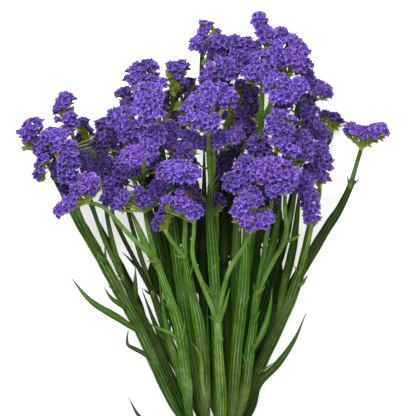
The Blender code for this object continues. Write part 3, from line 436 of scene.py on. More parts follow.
def points_at(places, run, line):
    """The points, or the one point, at these places along a line."""
    return np.stack([np.interp(places, run, line[:, k]) for k in range(3)], axis=-1)


def with_ends(points):
    """The points with one more before and after them, so that a smooth curve meets both ends."""
    return np.vstack([2 * points[0] - points[1], points, 2 * points[-1] - points[-2]])


def curve_point(held, i, t):
    """The point at the share t between the second and the third of four held points."""
    a, b, c, d = held[i : i + 4]
    return 0.5 * (2 * b + (c - a) * t + (2 * a - 5 * b + 4 * c - d) * t**2
                  + (3 * b - a - 3 * c + d) * t**3)


def smooth_route(points, step):
    """Points at an even step along a smooth curve through the route's own points."""
    points = np.array(points, float)
    held = with_ends(points)
    fine = [curve_point(held, i, t) for i in range(len(points) - 1)
            for t in np.arange(0.0, 1.0, CURVE_STEP)]
    fine = np.array(fine + [points[-1]])
    run = run_along(fine)
    count = max(3, round(run[-1] / step) + 1)
    return points_at(np.linspace(0, run[-1], count), run, fine)


def smooth_points(points, count):
    """So many points along the smooth curve through the given ones."""
    held = with_ends(points)
    made = []
    for place in np.linspace(0, len(points) - 1, count):
        i = min(int(place), len(points) - 2)
        made.append(curve_point(held, i, place - i))
    return np.array(made)


def finer(values):
    """The values with three more between each two, along the first axis."""
    held = np.arange(len(values))
    even = np.linspace(0, len(values) - 1, 4 * (len(values) - 1) + 1)
    return np.interp(even, held, values) if values.ndim == 1 else points_at(even, held, values)


def ahead_at(line, i):
    """The direction of a line at one of its points."""
    return unit(line[min(i + 1, len(line) - 1)] - line[max(i - 1, 0)])


def side_of(line, i, facing):
    """The directions across a line and out of it, for a blade that faces this way."""
    ahead = ahead_at(line, i)
    side = np.cross(ahead, facing)
    if np.linalg.norm(side) < 0.05:
        side = np.cross(ahead, np.array([1.0, 0.0, 0.0]))
    side = unit(side)
    return side, unit(np.cross(side, ahead))


def around_axis(ahead, facing):
    """The directions up and aside of an axis, for a comb that faces this way."""
    up = unit(facing - ahead * float(facing @ ahead))
    return up, np.cross(ahead, up)


def frame_along(axis):
    """Two directions square to an axis."""
    other = np.array([1.0, 0.0, 0.0]) if abs(axis[0]) < 0.8 else np.array([0.0, 1.0, 0.0])
    side = unit(np.cross(axis, other))
    return side, np.cross(axis, side)


def place_in_band(ring, degrees):
    radius = OUTER_RING_RADIUS if ring == 1 else INNER_RING_RADIUS
    turn = math.radians(degrees)
    return np.array([radius * math.sin(turn), 0.0, radius * math.cos(turn)])


def wing_width(y):
    return WING_WIDTH_IN_BAND + (WING_WIDTH - WING_WIDTH_IN_BAND) * eased(
        STRAIGHT_TO_Y, WIDENING_TO_Y, y)


class Chain:
    """A stem, branch or leaf: its centre line, what it grows from, and the head at its end."""

    def __init__(self, kind, owner, points, parent=None, start=0, head=None, width=0.0):
        self.kind = kind
        self.owner = owner
        self.points = points
        self.parent = parent
        self.start = start
        self.head = head
        self.width = width
        self.aim = None

    def room(self):
        """How far each point keeps others away."""
        if self.kind == "stem":
            return np.array([0.5 * wing_width(y) for y in self.points[:, 1]])
        half = 0.5 * (BRANCH_WIDTH if self.kind == "branch" else self.width)
        return np.full(len(self.points), half)


def lump_centres(name):
    height, _, lumps = HEADS[name]
    return np.array([(x, y, height + rise) for x, y, rise, _ in lumps], float)


def lump_radii(name):
    return np.array([lump[3] / 2 * FULLNESS for lump in HEADS[name][2]], float)


def neck_reach(name):
    """How far the branch ends from the middle of the lump that it bears."""
    return lump_radii(name)[HEADS[name][1]] + NECK_LENGTH + SOCKET_GAP


def head_spots(name):
    """The middles and radii of a head's lumps, and of the places half-way between them."""
    centres = lump_centres(name)
    radii = lump_radii(name)
    between = (centres[1:] + centres[:-1]) / 2
    return np.vstack([centres, between]), np.concatenate([radii, (radii[1:] + radii[:-1]) / 2])


def foot_on(chain, y):
    return int(np.argmin(np.abs(chain.points[:, 1] - y)))


def drawn_chains():
    """All centre lines as drawn, before the bunch settles."""
    grown = {}
    for name, (ring, degrees, route) in STEMS.items():
        slot = place_in_band(ring, degrees)
        up = np.array([0.0, 0.0, BAND_HEIGHT])
        cut = slot * CUT_END_SPREAD + up + np.array([0, CUT_END_Y + CUT_END_STAGGER * degrees, 0])
        low, high = (slot + up + np.array([0, y, 0]) for y in (-STRAIGHT_TO_Y, STRAIGHT_TO_Y))
        spread = smooth_route([high] + route, PATH_STEP)
        grown[name] = Chain("stem", name, np.vstack([cut, low, spread]))
    for head, parent_name, y, bends in BRANCHES:
        parent = grown[parent_name]
        start = foot_on(parent, y)
        middle = lump_centres(head)[HEADS[head][1]]
        back = unit(np.array(bends[-1], float) - middle)
        route = [parent.points[start]] + bends + [middle + back * neck_reach(head)]
        grown[head] = Chain("branch", parent.owner, smooth_route(route, PATH_STEP), parent, start,
                            head)
    chains = list(grown.values())
    for parent_name, y, route, width in LEAVES:
        parent = grown[parent_name]
        start = foot_on(parent, y)
        points = smooth_route([parent.points[start]] + route, PATH_STEP)
        chains.append(Chain("leaf", parent.owner, points, parent, start, None, width))
    return chains


def near_pairs(now, room, group, borne, held):
    """The pairs of points of different groups that may soon be in each other's way."""
    apart = np.linalg.norm(now[:, None, :] - now[None, :, :], axis=2)
    close = apart < room[:, None] + room[None, :] + CLEARANCE + NEAR_REACH
    close &= group[:, None] != group[None, :]
    close &= borne[:, None] != group[None, :]
    close &= group[:, None] != borne[None, :]
    close &= ~(held[:, None] & held[None, :])
    return np.nonzero(np.triu(close, 1))


def pushes(drawn, moved, room, firsts, seconds):
    """How the pairs that lie too near push their points, and how often each point is pushed."""
    gap = drawn[firsts] + moved[firsts] - drawn[seconds] - moved[seconds]
    length = np.maximum(np.linalg.norm(gap, axis=1), 1e-6)
    lacking = room[firsts] + room[seconds] + CLEARANCE - length
    hit = lacking > 0
    one, two = firsts[hit], seconds[hit]
    way = gap[hit] / length[hit, None]
    way[:, :2] *= SIDEWAYS_EASE
    way[:, 2] += UPWARD_EASE * np.sign(drawn[one, 2] - drawn[two, 2] + 0.01)
    step = way * (0.5 * lacking[hit])[:, None]
    push = np.zeros_like(drawn)
    hits = np.zeros(len(drawn))
    for ends, share in ((one, step), (two, -step)):
        np.add.at(push, ends, share)
    for ends in (one, two):
        np.add.at(hits, ends, 1)
    return push, hits


def settled_bunch():
    """The chains and the lumps of each head, moved apart until none is in another's way."""
    chains = drawn_chains()
    owners, heads = list(STEMS), list(HEADS)
    rows = [(chain, chain.points, chain.room(), owners.index(chain.owner),
             len(owners) + heads.index(chain.head) if chain.head else -1) for chain in chains]
    rows += [(name, *head_spots(name), len(owners) + i, -1) for i, name in enumerate(heads)]
    spans = {}
    at = 0
    for key, points, *_ in rows:
        spans[key] = slice(at, at + len(points))
        at += len(points)
    drawn = np.vstack([row[1] for row in rows])
    room = np.concatenate([row[2] for row in rows])
    group, borne = (np.concatenate([np.full(len(row[1]), row[k]) for row in rows]) for k in (3, 4))
    moved = np.zeros_like(drawn)
    held = np.zeros(len(drawn), bool)
    for chain in chains:
        if chain.kind == "stem":
            held[spans[chain]] = chain.points[:, 1] < STRAIGHT_TO_Y + 1
    lowest = np.where(group < len(owners), room - FLOOR_DIP, room * (1 - HEAD_DIP_SHARE))
    for turn in range(SETTLE_ROUNDS):
        if turn % NEAR_ROUNDS == 0:
            pairs = near_pairs(drawn + moved, room, group, borne, held)
        push, hits = pushes(drawn, moved, room, *pairs)
        moved += push / np.maximum(hits, 1)[:, None]
        moved[:, :2] *= RETURN_SHARE
        for name in heads:
            part = spans[name]
            busy = hits[part] > 0
            shift = moved[part][busy].mean(axis=0) if busy.any() else moved[part].mean(axis=0)
            shift[2] += max((lowest[part] - drawn[part, 2] - shift[2]).max(), 0.0)
            moved[part] = shift
        for chain in chains:
            part = spans[chain]
            line = moved[part]
            line[1:-1] = 0.5 * line[1:-1] + 0.25 * (line[:-2] + line[2:])
            line[-1] = 0.5 * (line[-1] + line[-2])
            if chain.parent is not None:
                line[0] = moved[spans[chain.parent]][chain.start]
            if chain.head:
                line[-1] = moved[spans[chain.head]][0]
                line[-2] = 0.5 * (line[-1] + line[-3])
            free = ~held[part]
            line[~free] = 0.0
            under = lowest[part] - drawn[part, 2] - line[:, 2]
            line[free, 2] += np.maximum(under[free], 0.0)
    for chain in chains:
        chain.points = chain.points + moved[spans[chain]]
    lumps = {name: lump_centres(name) + moved[spans[name]][0] for name in heads}
    for chain in chains:
        if chain.head:
            chain.aim = lumps[chain.head][HEADS[chain.head][1]]
    return chains, lumps


@functools.lru_cache(maxsize=1)
def bunch():
    """The settled centre lines and lumps, worked out once for all the operators."""
    return settled_bunch()


class Surroundings:
    """Everything that a floret of one head must stay clear of."""

    def __init__(self, chains, lumps):
        spots, rooms, heads = [], [], []
        for chain in chains:
            spots.append(finer(chain.points))
            rooms.append(finer(chain.room()))
            heads.extend([None] * len(spots[-1]))
        for name, centres in lumps.items():
            drawn, radii = head_spots(name)
            spots.append(drawn + centres[0] - drawn[0])
            rooms.append(radii)
            heads.extend([name] * len(radii))
        self.spots = np.vstack(spots)
        self.rooms = np.concatenate(rooms)
        self.heads = np.array(heads, object)

    def is_clear(self, head, spots):
        others = self.heads != head
        for spot in spots:
            apart = np.linalg.norm(self.spots[others] - spot, axis=1)
            if np.any(apart < self.rooms[others] + FLORET_GAP):
                return False
        return True


def size_property(name, description, default, limits, **kind):
    """A length or a share of the add-on's sizes."""
    return bpy.props.FloatProperty(name=name, description=description, default=default,
                                   min=limits[0], max=limits[1], **kind)


class StaticeSizes(bpy.types.PropertyGroup):
    floret_width: size_property(
        "Floret width", "Across the papery rim of one floret", 0.0090, (0.004, 0.02),
        unit="LENGTH")
    floret_spacing: size_property(
        "Floret spacing", "From one floret to the next on a comb", 0.0060, (0.003, 0.02),
        unit="LENGTH")
    floret_reach: size_property(
        "Floret reach", "How far the rims stand out, as a share of the comb's radius", 0.97,
        (0.5, 1.2), subtype="FACTOR")
    rim_ruffle: size_property(
        "Rim ruffle", "How deeply the rims are pleated, as a share of their width", 0.2,
        (0.0, 0.4), subtype="FACTOR")
    wing_wave: size_property(
        "Wing wave", "How far the edges of the stem wings wander", 0.0010, (0.0, 0.003),
        unit="LENGTH")
    section_step: size_property(
        "Section step", "Between two sections along a stem", 0.0040, (0.002, 0.02),
        unit="LENGTH")


def colour_property(name, description, value):
    """One colour of the add-on, in linear light."""
    return bpy.props.FloatVectorProperty(name=name, description=description, default=(*value, 1.0),
                                         size=4, min=0.0, max=1.0, subtype="COLOR")


class StaticeColours(bpy.types.PropertyGroup):
    rim_violet: colour_property("Rim violet", "The light edge of a floret", (0.30, 0.19, 0.66))
    mid_violet: colour_property("Middle violet", "The wall of a floret", (0.115, 0.05, 0.38))
    deep_violet: colour_property("Deep violet", "The throat of a floret", (0.04, 0.011, 0.17))
    calyx_tip: colour_property("Calyx tip", "The blush at a green tip", (0.30, 0.10, 0.09))
    calyx_green: colour_property("Calyx green", "The ribs behind a comb", (0.23, 0.32, 0.035))
    eye_cream: colour_property("Eye", "The small true flower in a floret", (0.45, 0.22, 0.12))
    stem_green: colour_property("Stem green", "The grooves of a stem", (0.017, 0.078, 0.001))
    ridge_green: colour_property("Ridge green", "The ridges of a stem", (0.22, 0.35, 0.115))
    wing_green: colour_property("Wing green", "The thin wings of a stem", (0.090, 0.215, 0.005))
    leaf_green: colour_property("Leaf green", "The narrow leaves", (0.036, 0.118, 0.003))
    bract_brown: colour_property("Bract brown", "The dry scale at a fork", (0.28, 0.19, 0.06))
    cut_green: colour_property("Cut end", "The cut face of a stem", (0.42, 0.50, 0.24))
    rubber: colour_property("Rubber", "The band", (0.55, 0.36, 0.18))
    floor_white: colour_property("Floor", "Where the bunch lies", (0.93, 0.93, 0.93))


class Skin:
    """A short way to wire one material's nodes."""

    def __init__(self, name):
        self.material = bpy.data.materials.new(name)
        self.material.use_nodes = True
        self.tree = self.material.node_tree
        self.shader = self.tree.nodes["Principled BSDF"]

    def fill(self, node, inputs):
        """Sets or links each of these inputs of a node."""
        for key, value in inputs.items():
            if isinstance(value, bpy.types.NodeSocket):
                self.tree.links.new(value, node.inputs[key])
            else:
                node.inputs[key].default_value = value

    def node(self, kind, output, inputs, **settings):
        """One output of a new node."""
        node = self.tree.nodes.new(kind)
        for name, value in settings.items():
            setattr(node, name, value)
        self.fill(node, inputs)
        return node.outputs[output]

    def attribute(self, name):
        return self.node("ShaderNodeAttribute", "Fac", {}, attribute_name=name)

    def math(self, operation, first, second):
        return self.node("ShaderNodeMath", 0, {0: first, 1: second}, operation=operation)

    def mixed(self, share, first, second):
        return self.node("ShaderNodeMix", 2, {0: share, 6: first, 7: second}, data_type="RGBA")

    def span(self, *source_and_limits):
        """The source, moved from its own range (low, high) to another one."""
        return self.node("ShaderNodeMapRange", "Result", dict(enumerate(source_and_limits)))

    def spread(self, noise, low, high):
        """The middle of a noise, spread from low to high."""
        return self.span(noise, 0.3, 0.7, low, high)

    def noise(self, scale, detail=3.0, source=None):
        place = source or self.node("ShaderNodeTexCoord", "Object", {})
        inputs = {"Scale": scale, "Detail": detail, "Vector": place}
        return self.node("ShaderNodeTexNoise", "Fac", inputs)

    def ramp(self, source, stops):
        node = self.tree.nodes.new("ShaderNodeValToRGB")
        band = node.color_ramp
        while len(band.elements) < len(stops):
            band.elements.new(0.5)
        for element, (place, colour) in zip(band.elements, stops):
            element.position = place
            element.color = colour
        self.fill(node, {"Fac": source})
        return node.outputs["Color"]

    def varied(self, colour, tints, grain, grains, drift, hues):
        """The colour, made lighter and darker by the tint, which also holds painted shade, and by
        the grain, with a drifting hue.
        """
        value = self.math("MULTIPLY", self.span(self.attribute("tint_and_shade"), 0.0, 1.0, *tints),
                          self.spread(grain, *grains))
        inputs = {"Color": colour, "Hue": self.spread(drift, *hues), "Value": value}
        return self.node("ShaderNodeHueSaturation", "Color", inputs)

    def bump(self, height, strength, distance):
        inputs = {"Strength": strength, "Distance": distance, "Height": height}
        self.fill(self.shader, {"Normal": self.node("ShaderNodeBump", "Normal", inputs)})

    def done(self, colour, roughness, sheen=0.0, specular=0.5):
        self.fill(self.shader, {"Base Color": colour, "Roughness": roughness,
                                "Sheen Weight": sheen, "Specular IOR Level": specular})
        return self.material


def papery_violet(colours):
    """Green and blushed at the foot, deep violet in the throat, pale along the pleated rim."""
    skin = Skin("papery_violet")
    stops = [(0.0, colours.calyx_green), (0.22, colours.calyx_green), (0.36, colours.calyx_tip),
             (0.5, colours.deep_violet), (0.74, colours.mid_violet), (0.98, colours.rim_violet)]
    reach = skin.attribute("reach")
    crumple = skin.spread(skin.noise(420.0, 2.0), -0.2, 0.2)
    folds = skin.math("MULTIPLY", crumple, skin.span(reach, 0.4, 0.6, 0.0, 1.0))
    base = skin.ramp(skin.math("ADD", reach, folds), stops)
    crinkle = skin.noise(1300.0)
    skin.bump(crinkle, 0.6, 0.0006)
    # the vertex tint darkens the florets with painted shade as well as their own random tone
    colour = skin.varied(base, (0.22, 1.2), crinkle, (0.68, 1.32), skin.noise(45.0, 1.0),
                         (0.49, 0.513))
    return skin.done(colour, 0.75, sheen=0.1, specular=0.12)


def calyx_green(colours):
    """Yellow-green ribs with a reddish tip."""
    skin = Skin("calyx_green")
    stops = [(0.0, colours.calyx_green), (0.72, colours.calyx_green), (0.92, colours.calyx_tip),
             (1.0, colours.calyx_tip)]
    base = skin.ramp(skin.attribute("reach"), stops)
    grain = skin.noise(700.0)
    skin.bump(grain, 0.3, 0.0004)
    # the vertex tint darkens the green with painted shade as well as its own random tone
    colour = skin.varied(base, (0.7, 1.3), grain, (0.8, 1.2), skin.noise(60.0, 1.0), (0.49, 0.51))
    return skin.done(colour, 0.6, specular=0.3)


def stem_skin(name, groove, ridge, edge):
    """Pale ridges, darker grooves and bright thin edges, with fine streaks along the length."""
    skin = Skin(name)
    places = {axis: skin.attribute(key) for axis, key in zip("XYZ", ("across", "along", "tint_and_shade"))}
    streaks = skin.noise(6.0, 4.0, skin.node("ShaderNodeCombineXYZ", "Vector", places))
    ridged = skin.attribute("ridge")
    crest = skin.math("MULTIPLY", ridged, skin.span(skin.noise(38.0), 0.35, 0.65, 0.35, 1.0))
    patch = skin.span(skin.noise(22.0, 4.0), 0.5, 0.72, 0.0, 0.6)
    colour = skin.mixed(skin.math("MAXIMUM", crest, patch), groove, ridge)
    colour = skin.mixed(skin.attribute("edge"), colour, edge)
    dry = skin.math("MULTIPLY", skin.span(skin.noise(13.0), 0.6, 0.72, 0.0, 0.6), ridged)
    colour = skin.mixed(dry, colour, (0.25, 0.17, 0.09, 1.0))
    skin.bump(streaks, 0.35, 0.0005)
    # the vertex tint darkens the stem with painted shade as well as its own random tone
    colour = skin.varied(colour, (0.15, 1.5), streaks, (0.66, 1.34), skin.noise(160.0),
                         (0.478, 0.512))
    return skin.done(colour, 0.6, specular=0.1)


def scaled(colour, share):
    """A colour made darker or lighter."""
    return (*(min(1.0, c * share) for c in colour[:3]), 1.0)


def speckled_skin(name, grain, stops, roughness, specular=0.5, bump=None, dust=None):
    """A skin with fine specks between its colours, and grains of the same or of their own."""
    skin = Skin(name)
    specks = skin.noise(*grain)
    if bump:
        skin.bump(skin.noise(dust) if dust else specks, *bump)
    skin.done(skin.ramp(specks, stops), roughness, specular=specular)
    return skin


def stem_skins(colours):
    """The materials of a stem: STEM, LEAF, SCALE, CUT and NODE."""
    brown, cut, green = colours.bract_brown, colours.cut_green, colours.calyx_green
    bump = (0.4, 0.0004)
    node_stops = [(0.3, brown), (0.36, scaled(green, 0.4)), (0.7, scaled(green, 0.7))]
    plain = (("dry_bract", (900.0,), [(0.35, scaled(brown, 0.55)), (0.65, brown)], 0.75, 0.5),
             ("cut_end", (1400.0,), [(0.35, cut), (0.65, scaled(cut, 1.3))], 0.7, 0.5),
             ("fork_node", (420.0, 4.0), node_stops, 0.6, 0.2))
    return [stem_skin("winged_stem", colours.stem_green, colours.ridge_green, colours.wing_green),
            stem_skin("narrow_leaf", colours.leaf_green, colours.ridge_green, colours.leaf_green),
            *(speckled_skin(*values, bump).material for values in plain)]


def head_skins(colours):
    """The materials of a head: VIOLET, CALYX and EYE."""
    eye = colours.eye_cream
    stops = [(0.35, eye), (0.65, scaled(eye, 1.5))]
    return [papery_violet(colours), calyx_green(colours),
            speckled_skin("eye_cream", (1500.0,), stops, 0.6).material]


def blank_shape(layers):
    """An empty shape whose vertices carry these values."""
    shape = bmesh.new()
    for key in layers:
        shape.verts.layers.float.new(key)
    return shape


def ring_edges(ring):
    """The edges between neighbours in a closed ring of vertices."""
    found = []
    for i, vert in enumerate(ring):
        after = ring[(i + 1) % len(ring)]
        found.append(next(e for e in vert.link_edges if e.other_vert(vert) is after))
    return found


def extruded_ring(shape, ring):
    """A new ring drawn out of another one, in the same order."""
    made = bmesh.ops.extrude_edge_only(shape, edges=ring_edges(ring))
    fresh = {v for v in made["geom"] if isinstance(v, bmesh.types.BMVert)}
    return [next(e.other_vert(v) for e in v.link_edges if e.other_vert(v) in fresh) for v in ring]


def start_ring(shape, count):
    """The first ring of vertices of a tube."""
    return bmesh.ops.create_circle(shape, cap_ends=False, segments=count, radius=1.0)["verts"]


def closed(shape, ring):
    """The face that closes a ring."""
    return bmesh.ops.contextual_create(shape, geom=ring_edges(ring))["faces"]


def tube(sections, material=0, smooth=False):
    """A closed tube through sections, each a list of (point, values by layer), and its ends."""
    shape = blank_shape(sections[0][0][1])
    layers = {key: shape.verts.layers.float[key] for key in sections[0][0][1]}
    first = ring = start_ring(shape, len(sections[0]))
    for number, section in enumerate(sections):
        if number:
            ring = extruded_ring(shape, ring)
        for vert, (point, values) in zip(ring, section):
            vert.co = point
            for key, layer in layers.items():
                vert[layer] = values[key]
    caps = closed(shape, first) + closed(shape, ring)
    for face in shape.faces:
        face.material_index = material
        face.smooth = smooth
    return shape, caps


def mesh_from(shape, name="part"):
    """A mesh from a shape, which is then gone."""
    mesh = bpy.data.meshes.new(name)
    shape.to_mesh(mesh)
    shape.free()
    return mesh


def part_mesh(shape):
    """A loose mesh in millimetres, whose faces are turned out."""
    bmesh.ops.recalc_face_normals(shape, faces=shape.faces)
    return mesh_from(shape)


def tube_mesh(sections, material=0, smooth=False):
    """A loose mesh of a tube."""
    return part_mesh(tube(sections, material, smooth)[0])


def add_shape(target, mesh, matrix=None, tint_and_shade=None, material=None):
    """Puts a copy of a mesh into the target, turned and placed by the matrix."""
    before, before_faces = len(target.verts), len(target.faces)
    target.from_mesh(mesh)
    target.verts.ensure_lookup_table()
    target.faces.ensure_lookup_table()
    verts = target.verts[before:]
    if matrix is not None:
        bmesh.ops.transform(target, matrix=matrix, verts=verts)
    if tint_and_shade is not None:
        layer = target.verts.layers.float["tint_and_shade"]
        for vert in verts:
            vert[layer] = tint_and_shade
    if material is not None:
        for face in target.faces[before_faces:]:
            face.material_index = material


def add_object(name, data):
    """A new object in the scene."""
    made = bpy.data.objects.new(name, data)
    bpy.context.scene.collection.objects.link(made)
    return made


def finish_piece(name, shape, skins, node, rests=False):
    """A piece from a shape in millimetres, on its body, in place of its solid if it has one."""
    if rests:
        for vert in shape.verts:
            vert.co.z = max(vert.co.z, REST_GAP)
    bmesh.ops.scale(shape, vec=(MM, MM, MM), verts=shape.verts)
    mesh = mesh_from(shape, name)
    piece = add_object(name, mesh)
    for skin in skins:
        mesh.materials.append(skin)
    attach(piece, BODY)
    if node:
        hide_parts(node)


def clear_loose_meshes():
    """Takes away the meshes that were only templates and parts."""
    for mesh in list(bpy.data.meshes):
        if mesh.users == 0:
            bpy.data.meshes.remove(mesh)


@functools.lru_cache(maxsize=1)
def crown_points():
    """The middles of all lumps."""
    return np.vstack(list(bunch()[1].values()))


def crown_light(point):
    """How much light is left at a point among the heads, by how many lumps stand round it; stems
    and leaves take it as painted shade.
    """
    apart = crown_points() - point
    near = (np.hypot(apart[:, 0], apart[:, 1]) < CROWN_REACH) & (apart[:, 2] > -CROWN_BELOW)
    return 1 - CROWN_DARKENING * eased(*CROWN_COUNTS, int(np.count_nonzero(near)))


def section(profile, point, side, out, wide, thick, fold, along, tint_and_shade, waves=(0, 0, 0)):
    """One section of a blade: its upper side from left to right, and then its lower side back."""
    made = []
    light = crown_light(point)
    count = len(profile)
    for k in range(2 * count - 2):
        upper = k < count
        u, height, ridge, edge = profile[k if upper else 2 * count - 2 - k]
        sway = waves[0] if u < 0 else waves[1]
        wing = abs(u) ** 2
        across = u * wide * (1 + 0.08 * sway * wing)
        rise = (height if upper else -height) * thick + wing * sway * waves[2]
        spot = point + side * across + out * (rise + fold * abs(u) * wide)
        # painted shade: darker near the floor and among the heads, mixed with the part's own random
        # tint
        high = eased(DARK_BELOW, LIGHT_ABOVE, spot[2])
        lit = light * (OWN_TINT_SHARE * tint_and_shade + (1 - OWN_TINT_SHARE) * high)
        made.append((Vector(spot), {"ridge": ridge, "edge": edge, "across": u, "along": along,
                                    "tint_and_shade": lit}))
    return made


class Wave:
    """A slow seeded wander between about -1 and 1."""

    def __init__(self, rng):
        self.parts = [(rng.uniform(slow, fast), rng.uniform(*ANY_TURN), share)
                      for slow, fast, share in WAVE_PACES]

    def at(self, length):
        return sum(share * math.sin(length * pace + start) for pace, start, share in self.parts)


def winged(profile, line, places, rng, form_at, facing_at=lambda point: UP):
    """The sections along a stem, branch or leaf. Its form is half the width, half the thickness,
    the fold, how much the edges wander and how far."""
    left, right = Wave(rng), Wave(rng)
    tint_and_shade = rng.random()
    made = []
    for i, (point, place) in enumerate(zip(line, places)):
        side, out = side_of(line, i, facing_at(point))
        wide, thick, fold, calm, far = form_at(i, point)
        waves = (left.at(place) * calm, right.at(place) * calm, far)
        made.append(section(profile, point, side, out, wide, thick, fold, place * ALONG_SCALE,
                            tint_and_shade, waves))
    return made


def stem_sections(chain, sizes, rng):
    """The sections of a stem: straight and turned to its slot in the band, wide and flat above."""
    path = chain.points
    slot = unit(place_in_band(*STEMS[chain.owner][:2]))
    flat = np.array([0, 0, 1.0 if slot[2] >= 0 else -1.0])
    held = np.vstack([path[:2], smooth_points(path[2:], 4 * len(path))])
    run = run_along(held)
    even = np.linspace(0, run[-1], round(run_along(path)[-1] * MM / sizes.section_step))

    def form_at(i, point):
        shrink = TIP_SHARE + (1 - TIP_SHARE) * eased(0, TIP_RUN, run[-1] - even[i])
        return (wing_width(point[1]) * shrink / 2, STEM_THICKNESS / 2 * shrink, 0.0,
                eased(STRAIGHT_TO_Y, WIDENING_TO_Y, abs(point[1])), sizes.wing_wave / MM)

    def facing_at(point):
        share = eased(STRAIGHT_TO_Y, WIDENING_TO_Y, point[1])
        return unit(slot * (1 - share) + flat * share)

    return winged(STEM_PROFILE, points_at(even, run, held), even, rng, form_at, facing_at)


def slim_sections(profile, path, step, rng, form_at):
    """The sections of a branch or leaf, whose form goes by the share of its length."""
    length = float(np.linalg.norm(np.diff(path, axis=0), axis=1).sum())
    count = max(8, round(length * MM / step))
    shares = [i / (count - 1) for i in range(count)]
    places = [share * length for share in shares]
    return winged(profile, smooth_points(path, count), places, rng,
                  lambda i, point: form_at(shares[i]))


def branch_sections(chain, sizes, rng):
    """The sections of a branch, from inside its parent to inside the neck of its comb."""
    path = chain.points.copy()
    path[0] -= unit(path[1] - path[0]) * ROOT_SINK
    path = np.vstack([path, path[-1] + unit(chain.aim - path[-1]) * NECK_OVERLAP])
    return slim_sections(BRANCH_PROFILE, path, sizes.section_step, rng, lambda share: (
        BRANCH_WIDTH / 2 * (1 - 0.25 * share), BRANCH_THICKNESS / 2 * (1 - 0.15 * share), 0.0,
        1.0, BRANCH_WAVE))


def leaf_sections(chain, sizes, rng):
    """The sections of a leaf, slim at its foot and pointed at its tip."""
    def form_at(share):
        bow = math.sin(math.pi * share)
        swell = LEAF_FOOT_SHARE + (1 - LEAF_FOOT_SHARE) * bow
        wide = chain.width / 2 * swell * (1 - share**3) + LEAF_TIP_HALF * 0.5 * share**3
        return wide, LEAF_THICKNESS / 2 * (1 - 0.6 * share), LEAF_FOLD * bow, 1.0, LEAF_WAVE

    return slim_sections(LEAF_PROFILE, chain.points, sizes.section_step / LEAF_FINENESS, rng,
                         form_at)


def small_blade(foot, ahead, out, length, width, tint_and_shade):
    """The sections of a dry scale or a small leaf."""
    side = unit(np.cross(ahead, out))
    made = []
    for share in BLADE_STATIONS:
        point = foot + ahead * (share * length) + out * (0.5 + 0.9 * share * (1 - share))
        wide = width / 2 * (1 - share**2) + 0.12
        thick = 0.35 * (1 - 0.6 * share)
        made.append(section(LEAF_PROFILE, point, side, out, wide, thick, 0.25, share, tint_and_shade))
    return made


def node_shapes(chain, rng):
    """What grows at a fork: the swollen node, a dry scale over it and one or two pointed leaves."""
    root = chain.points[0]
    ahead = unit(chain.points[1] - root)
    side, out = side_of(chain.points, 0, UP)
    swelling = bmesh.new()
    matrix = standing(root + ahead * 1.0 + out * 0.3, ahead, 2.5, 4.6, rng.uniform(*ANY_TURN))
    bmesh.ops.create_icosphere(swelling, subdivisions=2, radius=1.0, matrix=matrix)
    for face in swelling.faces:
        face.material_index = NODE
        face.smooth = True
    shapes = [part_mesh(swelling)]
    first = 1.0 if rng.random() < 0.5 else -1.0
    foot = root - ahead * 1.5
    blades = [(foot, ahead, unit(out + first * 0.6 * side), rng.uniform(5.5, 7.5),
               rng.uniform(2.2, 3.0), SCALE)]
    for sign in (first, -first)[: rng.choice((1, 2))]:
        way = unit(ahead + sign * rng.uniform(0.35, 0.8) * side + rng.uniform(0.1, 0.5) * out)
        blades.append((foot, way, out, rng.uniform(9, 16), rng.uniform(2.0, 3.2), LEAF))
    for *blade, material in blades:
        shapes.append(tube_mesh(small_blade(*blade, rng.random()), material))
    return shapes


def stem_leaflets(chain, rng):
    """One or two short pointed leaves that grow from the edge of a stem."""
    path = finer(chain.points)
    fit = [i for i in range(4, len(path) - 4) if LEAFLETS_FROM_Y < path[i][1] < LEAFLETS_TO_Y]
    shapes = []
    for _ in range(rng.choice((1, 2)) if fit else 0):
        i = rng.choice(fit)
        ahead = unit(path[i + 2] - path[i - 2])
        side, out = side_of(path, i, UP)
        aside = rng.choice((-1.0, 1.0)) * rng.uniform(0.25, 0.6) * side
        way = unit(ahead + aside + rng.uniform(0.05, 0.3) * out)
        blade = small_blade(path[i] - ahead * 2.0, way, out, rng.uniform(16, 30),
                            rng.uniform(2.6, 3.8), rng.random())
        shapes.append(tube_mesh(blade, LEAF, smooth=True))
    return shapes


# For each kind of chain: what makes its sections, its material, and what makes its small parts
FORMS = {"stem": (stem_sections, STEM, stem_leaflets),
         "branch": (branch_sections, STEM, node_shapes),
         "leaf": (leaf_sections, LEAF, lambda chain, rng: ())}


class STATICE_OT_stems(bpy.types.Operator):
    """Makes the winged stems with their branches, leaves and dry scales"""

    bl_idname = "statice.stems"
    bl_label = "Stems"

    def execute(self, context):
        sizes, skins = context.scene.statice_sizes, stem_skins(context.scene.statice_colours)
        chains, _ = bunch()
        for name in STEMS:
            rng = random.Random(f"stem {name}")
            whole = blank_shape(STEM_LAYERS)
            for chain in (c for c in chains if c.owner == name):
                sections_of, material, small_parts = FORMS[chain.kind]
                shape, caps = tube(sections_of(chain, sizes, rng), material, smooth=True)
                for cap in caps:
                    cap.smooth = False
                if chain.kind == "stem":
                    caps[0].material_index = CUT
                add_shape(whole, part_mesh(shape))
                for mesh in small_parts(chain, rng):
                    add_shape(whole, mesh)
            finish_piece(f"stalk_{name}", whole, skins, f"stem_{name}")
        clear_loose_meshes()
        return {"FINISHED"}


